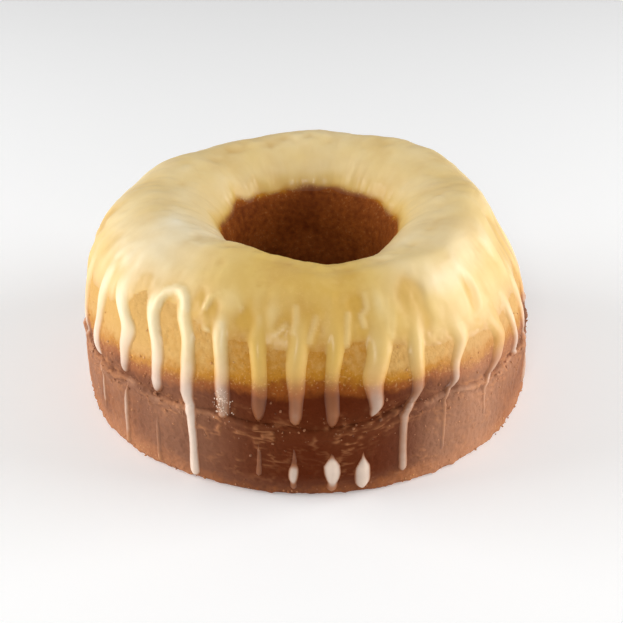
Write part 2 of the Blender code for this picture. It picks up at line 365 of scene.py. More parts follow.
        crest = self.tilt_sideways * np.sin(around) - self.tilt_forward * np.cos(around)
        crest += swells(around, self.front_dip) + waves(around, self.crown_waves)
        lift = crest * smoothstep(z, ledge, crest_height)
        near_rim = smoothstep(radius, *self.rim_reach) * smoothstep(z, *self.rim_heights)
        lift += swells(around, self.rim_swells) * near_rim
        from_ledge = np.clip((z - ledge) / ledge, -1.0, 1.0)
        near_ledge = outside * (0.5 + 0.5 * np.cos(math.pi * from_ledge))
        lift += swells(around, self.ledge_swells) * near_ledge

        up_crown = np.clip((z - ledge) / (crest_height - ledge), 0.0, 1.0)
        push = -self.side_bulge * np.sin(around) * np.sin(math.pi * up_crown**2)
        push += waves(around, self.out_of_round, QUARTER)
        lumpy = 0.4 + 0.6 * smoothstep(z, ledge, 1.3 * ledge)
        for count, climb, phase, depth in self.lumps:
            push += depth * MM * lumpy * np.sin(count * around + climb * z + phase)
        near_lip = bell(z - ledge + self.lip_height, self.lip_spread)
        push += near_lip * waves(around, self.lip_crags)
        lift += near_lip * outside * waves(around, self.lip_crags, QUARTER)

        grown = (radius + push * outside) / radius
        return np.stack((x * grown, y * grown, z + lift), axis=-1)


@dataclass(frozen=True)
class SectionLine:
    """A line in the ring's section, read by its length from its first point."""

    SAMPLES = 4000

    length: Array
    radius: Array
    height: Array
    out: Array
    up: Array

    @classmethod
    def through(cls, points: Array) -> "SectionLine":
        """Measure a line, and its normals on the side away from the cake.

        Args:
            points: Rows of radius and height, with the cake to the right of the run.

        Returns:
            The line with its length, places and unit normals.
        """
        along = run_lengths(points)
        length = np.linspace(0.0, along[-1], cls.SAMPLES)
        radius, height = (np.interp(length, along, part) for part in points.T)
        over, rise = np.gradient(radius), np.gradient(height)
        size = np.hypot(over, rise)
        return cls(length, radius, height, -rise / size, over / size)

    @classmethod
    def with_rows(cls, stretches: list[tuple[Array, int]]) -> tuple["SectionLine", Array]:
        """Join stretches into a closed line and spread rows evenly along each.

        Args:
            stretches: Points of each stretch, and how many rows it has.

        Returns:
            The line, and the lengths along it at which the rows lie.
        """
        points = np.vstack([part for part, _ in stretches] + [stretches[0][0][:1]])
        firsts = np.cumsum([0] + [len(part) for part, _ in stretches])
        ends = run_lengths(points)[firsts]
        spans = zip(ends, ends[1:], (count for _, count in stretches))
        rows = [np.linspace(start, end, count, endpoint=False) for start, end, count in spans]
        return cls.through(points), np.concatenate(rows)

    def patch(self, lengths: Array, columns: int, crest: float = 0.0) -> Patch:
        """The surface turned from rows of this line.

        Args:
            lengths: Where the rows lie along the line.
            columns: How many azimuths go round.
            crest: Length along the line to the crest.

        Returns:
            The places and normals.
        """
        around = np.linspace(0.0, 4.0 * QUARTER, columns, endpoint=False)[None, :]
        parts = (self.radius, self.height, self.out, self.up)
        rows = (np.interp(lengths, self.length, part)[:, None] for part in parts)
        return Patch(around, *rows, lengths[:, None] - crest)


def mesh_object(name: str, points: Array, faces: Array) -> Piece:
    """A smooth-shaded mesh object at the origin.

    Args:
        name: Name of the object and its mesh.
        points: Places, with x, y and z in the last axis.
        faces: Rows of vertex numbers, each face running anticlockwise from outside.

    Returns:
        The new object, linked to the scene.
    """
    mesh = bpy.data.meshes.new(name)
    mesh.vertices.add(points.size // 3)
    mesh.vertices.foreach_set("co", points.astype(np.float32).ravel())
    mesh.loops.add(faces.size)
    mesh.loops.foreach_set("vertex_index", faces.astype(np.int32).ravel())
    mesh.polygons.add(len(faces))
    starts = np.arange(0, faces.size, faces.shape[1], dtype=np.int32)
    mesh.polygons.foreach_set("loop_start", starts)
    mesh.update(calc_edges=True)
    mesh.validate()
    mesh.shade_smooth()
    piece = bpy.data.objects.new(name, mesh)
    bpy.context.scene.collection.objects.link(piece)
    return piece


def paint(piece: Piece, which: Array | slice, **layers: Array) -> None:
    """Store numbers for each vertex, for the piece's material to read.

    Args:
        piece: The piece.
        which: For each vertex, the place in the arrays that it takes its numbers from.
        **layers: Arrays by the names that the material reads, clipped to 0 and 1.
    """
    for name, values in layers.items():
        layer = piece.data.attributes.new(name, "FLOAT", "POINT")
        values = np.clip(values, 0.0, 1.0).astype(np.float32).ravel()[which]
        layer.data.foreach_set("value", values)


def ring_quads(rows: int, columns: int) -> Array:
    """Quads of a grid that closes on itself both ways.

    Args:
        rows: Number of rows.
        columns: Number of columns.

    Returns:
        Rows of four vertex numbers.
    """
    row, column = np.meshgrid(np.arange(rows), np.arange(columns), indexing="ij")
    here, below = row * columns, (row + 1) % rows * columns
    beside = (column + 1) % columns
    corners = (here + column, below + column, below + beside, here + beside)
    return np.stack(corners, axis=-1).reshape(-1, 4)


def without_corner_touches(keep: Array) -> Array:
    """Fill cells until no two kept cells touch only at a corner, columns wrapping.

    Args:
        keep: Which cells of a grid are kept.

    Returns:
        The same, with the filled cells.
    """
    keep = keep.copy()
    for _ in range(6):
        here, below = keep[:-1], keep[1:]
        beside, across = np.roll(here, -1, axis=1), np.roll(below, -1, axis=1)
        falling = here & across & ~beside & ~below
        rising = beside & below & ~here & ~across
        keep[1:] |= falling
        keep[:-1] |= rising
    return keep


def shell_object(name: str, outer: Array, inner: Array, keep: Array) -> tuple[Piece, Array]:
    """A closed shell over the kept cells of a grid, whose columns wrap.

    The outer and inner surfaces share the grid, and a wall of quads joins them along
    every side of a kept cell whose neighbour is left out.

    Args:
        name: Name of the object.
        outer: Grid of outer points, rows by columns by 3.
        inner: Grid of inner points, in the same layout.
        keep: Which cells are kept, one row fewer than the points.

    Returns:
        The object, and the grid numbers of its outer and inner vertices in order.
    """
    rows, columns = outer.shape[:2]
    keep = without_corner_touches(keep)
    row, column = np.nonzero(keep)
    beside = (column + 1) % columns
    a, d = row * columns + column, row * columns + beside
    b, c = a + columns, d + columns
    under = rows * columns
    faces = [np.column_stack((a, b, c, d)), np.column_stack((d, c, b, a)) + under]
    padded = np.pad(keep, ((1, 1), (0, 0)))
    sides = (
        (keep[row, column - 1], a, b),
        (padded[row + 2, column], b, c),
        (keep[row, beside], c, d),
        (padded[row, column], d, a),
    )
    for neighbour, start, end in sides:
        start, end = start[~neighbour], end[~neighbour]
        faces.append(np.column_stack((end, start, start + under, end + under)))
    used, numbers = np.unique(np.vstack(faces), return_inverse=True)
    points = np.vstack((outer.reshape(-1, 3), inner.reshape(-1, 3)))[used]
    return mesh_object(name, points, numbers.reshape(-1, 4)), used % under


def ball_cloud(name: str, middles: Array, stretch: Array, spin: Array) -> tuple[Piece, Array]:
    """Small 20-faced balls, whose corners are turns of (0, 1, golden ratio).

    Args:
        name: Name of the object.
        middles: Their middles, as rows of x, y and z.
        stretch: Size of each ball, along each corner's own axes.
        spin: How each is turned, as rows of 3 by 3 matrices.

    Returns:
        The object, and the number of the ball that each vertex belongs to.
    """
    golden = (1.0 + math.sqrt(5.0)) / 2.0
    signs = [(a, b) for a in (-1.0, 1.0) for b in (-golden, golden)]
    corners = np.array([np.roll((0.0, a, b), turn) for turn in range(3) for a, b in signs])
    corners /= math.hypot(1.0, golden)
    near = np.linalg.norm(corners[:, None] - corners[None, :], axis=-1)
    edge = near < 1.06 * near[near > 1e-6].min()
    i, j, k = np.nonzero(edge[:, :, None] & edge[None, :, :] & edge[:, None, :])
    faces = np.column_stack((i, j, k))[(i < j) & (j < k)]
    first, second, third = corners[faces.T]
    inward = np.sum(np.cross(second - first, third - first) * first, axis=1) < 0.0
    faces[inward] = faces[inward][:, [0, 2, 1]]
    points = middles[:, None, :] + (corners * stretch) @ spin
    points[:, :, 2] = np.maximum(points[:, :, 2], 0.0)
    count = np.arange(len(middles))
    numbers = faces[None] + 12 * count[:, None, None]
    return mesh_object(name, points, numbers.reshape(-1, 3)), np.repeat(count, 12)


@dataclass(frozen=True)
class Drip:
    """One drip of glaze.

    Azimuths are in degrees, and half-widths and the height of the foot in millimetres,
    all as on the solid. The veils say how white it is at its shoulder, its neck, along
    its run and at its foot, from 0, clear, to 1, white. A gap is where the glaze has
    run off the torn ledge, between two heights. The rise is how far above its foot a
    drop is widest, in half-widths of the drop. The bend moves the drip sideways by so
    many degrees round the height bend_at.
    """

    upper: float
    lower: float
    lean: float
    shoulder: float
    neck: float
    run: float
    bulb: float
    foot: float
    veils: tuple[float, float, float, float]
    gap: tuple[float, float] | None = None
    rise: float = 1.6
    bend: float = 0.0
    bend_at: float = 44.0


@dataclass(frozen=True)
class DripRule:
    """How every drip runs, and the drips themselves."""

    start: float = 64.0 * MM
    shoulder_height: float = 48.0 * MM
    neck_height: float = 32.0 * MM
    run_height: float = 24.0 * MM
    lean_between: tuple[float, float] = (40.0 * MM, 59.0 * MM)
    bend_spread: float = 5.5 * MM
    full_stand: float = 1.7 * MM
    stand_width: float = 2.0 * MM
    drop_length: float = 2.0
    long_rise: float = 2.0
    tail_share: float = 0.60
    hidden_count: int = 21
    hidden_first: float = 73.0
    hidden_last: float = 284.0
    hidden_jitter: float = 1.8
    hidden_drift: float = 3.0
    hidden_run_share: float = 0.65
    thin_run: float = 0.9
    thick_run: float = 1.7
    hidden_seed: int = 11
    front: tuple[Drip, ...] = tuple(Drip(*row) for row in (
        (-64.3, -59.5, -0.6, 3.5, 3.2, 1.0, 1.0, 8.0, (0.66, 0.90, 0.74, 0.30),
         (28.4, 27.2), 1.6, -1.6, 34.0),
        (-50.8, -48.8, -4.8, 5.0, 3.0, 1.4, 1.4, 2.0, (0.74, 0.72, 0.62, 0.38),
         (28.6, 25.5), 1.6, 2.4, 47.0),
        (-38.2, -37.6, -4.4, 3.4, 3.1, 1.0, 1.0, 1.8, (0.74, 0.74, 0.24, 0.44), (28.0, 20.0)),
        (-28.9, -27.2, -4.2, 3.3, 3.1, 1.9, 2.2, 1.2, (0.60, 0.76, 1.00, 1.00), None, 1.6, 1.6, 51.5),
        (-19.8, -19.7, -1.6, 2.7, 2.8, 0.0, 0.0, 26.0, (0.50, 0.56, 0.52, 0.46)),
        (-11.1, -11.3, -1.2, 2.7, 2.5, 0.9, 1.1, 7.0, (0.06, 0.24, 0.24, 0.30), (28.0, 20.6)),
        (-2.8, -3.2, 0.9, 3.2, 2.2, 0.9, 1.9, 2.6, (0.12, 0.36, 0.22, 0.78), (28.5, 21.0), 3.5),
        (5.7, 5.3, 1.8, 3.1, 2.1, 0.9, 3.1, 1.6, (0.06, 0.30, 0.20, 0.86), (28.0, 18.8), 3.1),
        (15.6, 12.6, 3.2, 4.9, 2.6, 1.2, 3.0, 1.8, (0.18, 0.58, 0.76, 0.88), (28.5, 17.0), 1.9),
        (26.3, 22.0, 2.0, 3.2, 2.7, 1.8, 1.8, 5.2, (0.22, 0.40, 0.56, 0.64)),
        (37.0, 33.0, 3.5, 3.9, 2.1, 0.9, 0.9, 8.0, (0.36, 0.60, 0.42, 0.18), None, 1.6, 3.2, 44.5),
        (52.8, 46.6, 3.2, 4.8, 3.2, 0.9, 0.9, 14.0, (0.22, 0.38, 0.50, 0.28), None, 1.6, 2.4, 39.0),
        (62.6, 62.2, 1.5, 2.8, 2.2, 0.0, 0.0, 26.0, (0.40, 0.60, 0.60, 0.60)),
    ))

    def hidden(self) -> list[Drip]:
        """The drips round the sides and back, by the solid's own seeded draw.

        Returns:
            The drips, whose veils come from a draw of their own.
        """
        draw = random.Random(self.hidden_seed)
        veil = random.Random(self.hidden_seed + 1)
        spacing = (self.hidden_last - self.hidden_first) / (self.hidden_count - 1)
        drips = []
        for index in range(self.hidden_count):
            upper = self.hidden_first + spacing * index
            upper += draw.uniform(-self.hidden_jitter, self.hidden_jitter)
            lower = upper + draw.uniform(-self.hidden_drift, self.hidden_drift)
            lean = draw.uniform(-self.hidden_drift, self.hidden_drift)
            shoulder = draw.uniform(2.2, 3.9)
            neck = shoulder * draw.uniform(0.62, 0.85)
            if draw.random() < self.hidden_run_share:
                run = draw.choice((self.thin_run, self.thin_run, self.thick_run))
                bulb = draw.choice((run, run, 1.6 * self.thick_run))
                foot = draw.uniform(2.0, 13.0)
            else:
                run = bulb = 0.0
                foot = draw.uniform(25.0, 34.0)
            veils = tuple(veil.uniform(low, low + 0.4) for low in (0.2, 0.4, 0.35, 0.5))
            drips.append(Drip(upper, lower, lean, shoulder, neck, run, bulb, foot, veils))
        return drips

    def azimuth(self, drip: Drip, height: Array) -> Array:
        """Azimuth of a drip's middle line.

        Args:
            drip: The drip.
            height: Heights on the even ring.

        Returns:
            Azimuths in degrees.
        """
        over_ledge = smoothstep(height, self.run_height, self.neck_height)
        straight = drip.lower + (drip.upper - drip.lower) * over_ledge
        bent = drip.bend * bell(height - drip.bend_at * MM, self.bend_spread)
        return straight + drip.lean * smoothstep(height, *self.lean_between) + bent

    def half_width(self, drip: Drip, height: Array) -> Array:
        """Half-width: straight pieces from shoulder to neck to run, a bell and its tail.

        Args:
            drip: The drip.
            height: Heights on the even ring.

        Returns:
            Half-widths, before the foot is rounded.
        """
        if drip.run == 0.0:
            ends = (drip.foot * MM, self.shoulder_height)
            return np.interp(height, ends, (drip.neck * MM, drip.shoulder * MM))
        heights = (self.run_height, self.neck_height, self.shoulder_height)
        widths = (drip.run * MM, drip.neck * MM, drip.shoulder * MM)
        middle = (drip.foot + drip.rise * drip.bulb) * MM
        away = np.abs(height - middle) / (self.drop_length * drip.bulb * MM)
        width = np.interp(height, heights, widths) + (drip.bulb - drip.run) * MM * np.exp(-(away**3))
        tail = self.tail_share * drip.bulb * MM if drip.rise > self.long_rise else 0.0
        return np.where(height < middle, np.maximum(width, tail), width)

    def stand(self, width: Array) -> Array:
        """How far a drip stands out: full * (1 - exp(-width / scale))."""
        return self.full_stand * (1.0 - np.exp(-width / self.stand_width))

    def veil(self, drip: Drip, height: Array) -> Array:
        """Whiteness along a drip, joined by straight pieces between its four veils.

        Args:
            drip: The drip.
            height: Heights on the even ring.

        Returns:
            Whiteness from 0 to 1.
        """
        shoulder, neck, run, foot = drip.veils
        if drip.run == 0.0:
            heights = (self.run_height + 2.0 * MM, self.neck_height + 3.0 * MM, self.shoulder_height)
            return np.interp(height, heights, (foot, neck, shoulder))
        middle = drip.foot + drip.rise * drip.bulb
        run_height = self.run_height / MM
        drop_top = min(middle + 2.6 * drip.bulb, run_height - 2.0)
        drop_high = min(middle + 1.2 * drip.bulb, run_height - 3.0)
        ends = (middle - 2.5 * drip.bulb, middle - 1.7 * drip.bulb, drop_high, drop_top, run_height)
        heights = (*(end * MM for end in ends), self.neck_height, self.shoulder_height)
        tail = foot if drip.rise < self.long_rise else 0.45 * foot
        return np.interp(height, heights, (tail, foot, foot, run, run, neck, shoulder))


@dataclass(frozen=True)
class Fold:
    """A rounded ridge in the glaze along a line of azimuths, in degrees, and heights."""

    line: Table
    half_width: float
    stand: float
    veil: float


@dataclass(frozen=True)
class GlazeCoat:
    """How thick the glaze is, how white, and how golden where it thins in a hollow."""

    thickness: Array
    veil: Array
    pool: Array


@dataclass(frozen=True)
class GlazeForm:
    """Thickness and whiteness of the glaze on the even ring.

    The cap's lower edge and its whiteness are given round the front by azimuth, in
    degrees, and wander at random round the sides and back. The whiteness is the glaze's
    own white, and towards the left and right it is also a painted veil of reflected light.
    A hollow is a row of its azimuth, height, half-width, half-length and depth.
    """

    form: RingForm
    rule: DripRule
    cap_thickness: float = 0.95 * MM
    cap_edge_run: float = 12.0 * MM
    bead: float = 0.07 * MM
    bead_spread: float = 1.4 * MM
    bead_left_of: tuple[float, float] = (-24.0, -34.0)
    thin: float = 0.10 * MM
    front_feet: Table = (
        (-80.0, 48.0), (-57.0, 51.5), (-47.0, 60.5), (-36.0, 60.0), (-24.5, 56.0), (-15.5, 55.0),
        (-7.0, 53.0), (1.5, 52.5), (11.0, 54.0), (21.0, 51.0), (32.0, 47.0), (44.0, 45.5),
        (57.0, 45.0), (80.0, 48.0),
    )
    # Whiteness by azimuth: the glaze's own white, and towards the left and right also a painted veil of
    # reflected light.
    front_veils_and_sheen: Table = (
        (-80.0, 0.50), (-64.0, 1.00), (-52.0, 0.92), (-40.0, 0.56), (-30.0, 0.22), (-18.0, 0.05),
        (8.0, 0.02), (20.0, 0.12), (30.0, 0.46), (45.0, 0.62), (60.0, 0.62), (80.0, 0.40),
    )
    folds: tuple[Fold, ...] = tuple(Fold(*row) for row in (
        ((
            (-41.9, 57.0), (-41.9, 59.6), (-40.6, 61.9), (-38.3, 63.2), (-36.0, 63.1), (-34.0, 61.6),
            (-32.8, 59.0),
        ), 2.2, 1.20, 0.66),
        (((-27.1, 60.9), (-26.3, 63.6), (-23.3, 65.3), (-19.8, 64.6), (-17.6, 62.2)), 1.1, 0.75, 0.22),
        (((-21.6, 57.6), (-21.0, 54.8)), 1.3, 0.70, 0.80),
        (((-26.2, 55.6), (-24.8, 55.2)), 0.6, 0.30, 0.75),
        (((-12.4, 60.2), (-12.2, 58.4), (-12.7, 55.6)), 1.4, 0.50, 0.36),
        (((-5.6, 59.0), (-8.0, 56.4)), 1.2, 0.45, 0.26),
        (((-3.2, 63.4), (-2.9, 60.0), (-3.6, 57.0)), 1.5, 0.62, 0.26),
        (((2.2, 61.0), (1.0, 56.9), (0.2, 54.2)), 1.4, 0.48, 0.24),
        (((16.3, 65.2), (16.0, 61.7), (14.1, 60.1), (14.5, 57.4)), 1.4, 0.50, 0.30),
        (((22.7, 57.8), (20.8, 52.6)), 1.3, 0.48, 0.30),
        (((10.4, 61.0), (10.0, 58.0), (9.4, 53.0)), 1.4, 0.56, 0.22),
        (((21.6, 62.4), (20.8, 58.6), (20.0, 54.4)), 1.5, 0.64, 0.26),
        (((29.0, 68.2), (37.5, 68.9), (47.6, 69.0), (61.9, 67.1)), 1.3, 0.55, 0.40),
        (((-33.4, 67.6), (-26.3, 68.2), (-19.9, 68.6), (-14.3, 68.0)), 1.2, 0.45, 0.12),
        (((-66.0, 61.0), (-64.6, 64.5), (-61.0, 67.0), (-54.0, 68.4)), 2.4, 0.70, 0.95),
    ))
    hollows: Table = (
        (-49.0, 60.5, 2.4, 4.6, 1.1), (-57.5, 54.0, 2.0, 4.0, 0.9), (-37.2, 58.4, 2.6, 3.6, 1.4),
        (-29.6, 60.9, 1.9, 4.6, 1.0), (-24.8, 60.6, 2.2, 2.9, 0.8), (-16.2, 58.8, 2.6, 3.8, 1.0),
        (-5.8, 58.6, 2.6, 4.8, 1.0), (1.6, 57.0, 2.4, 3.8, 0.8), (13.0, 62.7, 2.5, 3.8, 1.0),
        (14.6, 56.4, 2.0, 3.2, 0.8), (28.1, 61.8, 4.2, 6.6, 0.9), (30.0, 53.6, 3.4, 4.8, 0.8),
        (49.0, 56.3, 2.8, 6.0, 1.0), (-28.8, 69.6, 1.7, 1.7, 0.35), (-14.3, 67.6, 1.3, 1.0, 0.40),
    )
    hidden_hollows: int = 30
    hidden_hollow_ends: Table = ((72.0, 285.0), (52.0, 63.0), (1.3, 2.8), (2.0, 5.0), (0.4, 1.0))
    hidden_seed: int = 4
    foot_wander: float = 3.5 * MM
    veil_wander: float = 0.14
    ridge_veil: float = 0.30
    drip_pool: float = 0.95
    pool_depth: float = 0.9 * MM
    pool_wander: float = 0.52
    hole_edge: float = 57.5 * MM
    hole_edge_wander: float = 3.0 * MM
    hole_edge_run: float = 3.0 * MM
    ridge_depth: float = 0.34 * MM
    ridges_below: tuple[float, float] = (68.0 * MM, 62.0 * MM)
    lump_depth: float = 0.26 * MM
    wrinkle_depth: float = 0.17 * MM
    rim_depth: float = 0.55 * MM
    rim_radius: float = 48.5 * MM
    rim_spread: float = 4.5 * MM
    blend: float = 0.16 * MM
    sunk: float = 0.55 * MM
    drip_slack: float = 0.90
    drip_wave: float = 0.13
    drip_sway: float = 0.45 * MM
    least_width: float = 0.02 * MM
    taper: float = 6.0 * MM
    end_taper: float = 2.8 * MM
    clear_below: tuple[float, float, float] = (65.0 * MM, 57.0 * MM, 0.35)
    calm_at: tuple[float, float] = (52.0, 30.0)
    calm_drop: float = 10.0 * MM
    noise: Noise = field(default_factory=lambda: Noise(5))

    def all_hollows(self) -> Table:
        """The front's hollows, and others drawn at random round the sides and back."""
        draw = random.Random(self.hidden_seed)
        ends = [self.hidden_hollow_ends] * self.hidden_hollows
        return *self.hollows, *(tuple(draw.uniform(low, high) for low, high in row) for row in ends)

    def down_to(self, height: float) -> float:
        """Length along the section from the crest down the outer side to a height."""
        line = self.form.outer_line()
        return np.interp(height, line[::-1, 1], run_lengths(line)[::-1])

    def film(self, patch: Patch) -> GlazeCoat:
        """Thickness of the cap: full * tanh(height above its edge / run), and its relief.

        The outer edge ends in a low bead on the left. Streaks down the slope, lumps and
        fine wrinkles are added where the film is thick enough to carry them.

        Args:
            patch: Places on the even ring.

        Returns:
            The film: its thickness in metres, below zero past its edges, its whiteness,
            greater on the ridges, and its hollows.
        """
        around, radius, height = patch.around, patch.radius, patch.height
        points = patch.points()
        outside = (patch.down > 0.0).astype(float)
        down = np.abs(patch.down)
        circle = np.stack((np.sin(around), np.cos(around), 0.0 * around), axis=-1)
        ragged = self.noise.at(circle * 60.0, 4.5) + 0.5 * self.noise.at(circle * 60.0, 2.0)
        behind = smoothstep(np.abs(wrapped(around, 0.0)), 60.0, 85.0)
        foot = round_trip(around, self.front_feet) * MM
        foot = foot + self.foot_wander * ragged * (0.22 + 0.78 * behind)
        rim = self.hole_edge + self.hole_edge_wander * self.noise.at(circle * 31.0 + 5.0, 7.0)
        above = height - foot
        beaded = self.bead * smoothstep(wrapped(around, 0.0), *self.bead_left_of)
        outer = self.cap_thickness * np.tanh(above / self.cap_edge_run)
        outer = outer + beaded * bell(above - 1.2 * self.bead_spread, self.bead_spread)
        inner = self.cap_thickness * np.tanh((height - rim) / self.hole_edge_run)
        film = np.where(outside > 0.5, outer, inner)

        thick = smoothstep(film, 0.0, 0.8 * self.cap_thickness)
        lower = smoothstep(height, *self.ridges_below) * outside
        slope = (np.sin(around) * 60.0, np.cos(around) * 60.0, down / MM * 0.3)
        slope = np.stack(np.broadcast_arrays(*slope), axis=-1)
        streaks = self.noise.at(slope, 5.2) + 0.5 * self.noise.at(slope + 31.0, 2.4)
        calm = 1.0 - 0.60 * swell(around, *self.calm_at)
        relief = self.ridge_depth * (0.55 + 0.75 * lower) * streaks * calm
        relief = relief + self.lump_depth * self.noise.at(points, 11.0 * MM)
        relief = relief + self.wrinkle_depth * calm * self.noise.rough(points, 4.5 * MM, 3)
        at_rim = self.rim_depth * bell(radius - self.rim_radius, self.rim_spread)
        relief = relief + at_rim * self.noise.rough(points + 0.3, 5.0 * MM, 2)
        dips = 0.0
        for azimuth, high, half_width, half_length, depth in self.all_hollows():
            across = radius * np.radians(wrapped(around, azimuth)) / (half_width * MM)
            along = (down - self.down_to(high * MM)) / (half_length * MM)
            dips = dips + depth * MM * np.exp(-((across**2 + along**2) ** 1.5)) * outside
        left = film + relief * thick - dips
        lowest = np.minimum(film, self.thin)
        film = lowest + self.blend * np.logaddexp(0.0, (left - lowest) / self.blend)

        cloud = self.noise.rough(points + 0.2, 16.0 * MM, 2)
        # Whiteness: the glaze's own white, with a painted veil of reflected light towards the sides.
        veil = round_trip(around, self.front_veils_and_sheen) + self.veil_wander * cloud
        veil = veil * np.maximum(outside, smoothstep(height, rim + 0.5 * MM, rim + 6.0 * MM))
        high, clear, left_over = self.clear_below
        veil = veil * (left_over + (1.0 - left_over) * smoothstep(height, clear, high))
        veil = veil + self.ridge_veil * lower * thick * calm * np.clip(streaks + 0.25, 0.0, 1.2)
        pool = dips / self.pool_depth - 0.35 * lower * np.clip(streaks, -1.0, 0.4)
        pool = pool + self.pool_wander * (0.3 + self.noise.rough(points + 0.4, 7.0 * MM, 3))
        return GlazeCoat(film, np.clip(veil, 0.0, 1.0), np.clip(pool, 0.0, 1.0))

    def fold(self, fold: Fold, patch: Patch) -> Array:
        """Thickness of a fold: stand * (1 - (distance / half-width) ** 2).

        The distance is the least one to the straight pieces of the fold's line, measured
        on the surface in millimetres.

        Args:
            fold: The fold.
            patch: Places on the even ring.

        Returns:
            Its thickness over the patch, in metres.
        """
        scale = patch.radius / MM
        down = np.abs(patch.down) / MM
        nearest = 99.0
        for (az_a, high_a), (az_b, high_b) in zip(fold.line, fold.line[1:]):
            start = self.down_to(high_a * MM) / MM
            run_down = self.down_to(high_b * MM) / MM - start
            run_over = np.radians(az_b - az_a) * scale
            over = np.radians(wrapped(patch.around, az_a)) * scale
            share = (over * run_over + (down - start) * run_down) / (run_over**2 + run_down**2)
            share = np.clip(share, 0.0, 1.0)
            away = np.hypot(over - share * run_over, down - start - share * run_down)
            nearest = np.minimum(nearest, away)
        part = fold.stand * MM * (1.0 - (nearest / fold.half_width) ** 2)
        return np.maximum(part, -4.0 * self.sunk)

    def drip(self, drip: Drip, patch: Patch) -> Array:
        """Thickness of a drip: stand * (1 - (distance / half-width) ** 2).

        Args:
            drip: The drip.
            patch: Places on the even ring.

        Returns:
            Its thickness over the patch, in metres, below zero beside it.
        """
        rule, height = self.rule, patch.height
        foot = drip.foot * MM
        place = np.stack((drip.upper + 0.0 * height, 0.0 * height, height / MM), axis=-1)
        wavy = self.drip_wave * smoothstep(height, 15.0 * MM, 25.0 * MM)
        width = rule.half_width(drip, height) * (1.0 + wavy * self.noise.at(place, 6.0))
        sway = self.drip_sway * self.noise.at(place + 17.0, 8.0)
        blunt = (drip.bulb if drip.run else drip.neck) * MM
        blunt *= 0.55 if drip.rise > rule.long_rise else 1.0
        width = self.drip_slack * width * rounded((height - foot) / blunt) + self.least_width
        past = np.clip(foot - height, 0.0, None)
        if drip.gap:
            top, bottom = (edge * MM for edge in drip.gap)
            below = np.clip((bottom - height) / self.taper, 0.0, 1.0) ** 0.7
            upper = rounded((height - top) / self.end_taper)
            width = width * np.where(height > 0.5 * (top + bottom), upper, below) + self.least_width
            past = past + np.clip(np.minimum(top - height, height - bottom), 0.0, None)
        calm = self.calm_drop * swell(np.radians(drip.upper), *self.calm_at)
        emerged = smoothstep(height, rule.start - calm, rule.shoulder_height - calm)
        low = 0.35 * (1.0 - calm / self.calm_drop)
        stand = rule.stand(width) * (low + (1.0 - low) * emerged)
        away = patch.radius * np.radians(wrapped(patch.around, rule.azimuth(drip, height))) - sway
        part = np.maximum(stand * (1.0 - (away / width) ** 2), -4.0 * self.sunk)
        return part - past - 1.5 * self.sunk * smoothstep(height, rule.neck_height * 1.8, 1.06 * rule.start)

    def coat(self, patch: Patch) -> GlazeCoat:
        """Join the cap and every drip and fold.

        The parts are joined by a soft maximum, blend * log(sum(exp(part / blend))), and
        whiteness is their mean, weighted by the same powers.

        Args:
            patch: Places on the even ring.

        Returns:
            The glaze, rows by azimuths.
        """
        film = self.film(patch)
        total = np.exp(film.thickness / self.blend)
        white, pooled = total * film.veil, total * film.pool
        drips = [*self.rule.front, *self.rule.hidden()]
        parts = [(self.drip(d, patch), self.rule.veil(d, patch.height), self.drip_pool) for d in drips]
        parts += [(self.fold(fold, patch), fold.veil, 0.0) for fold in self.folds]
        for part, veil, pool in parts:
            part = np.where(patch.down > 0.0, part, -4.0 * self.sunk)
            weight = np.exp(part / self.blend)
            total = total + weight
            white = white + weight * veil
            pooled = pooled + weight * pool * (1.0 - veil)
        thickness = self.blend * np.log(total)
        return GlazeCoat(thickness, np.clip(white / total, 0.0, 1.0), pooled / total)


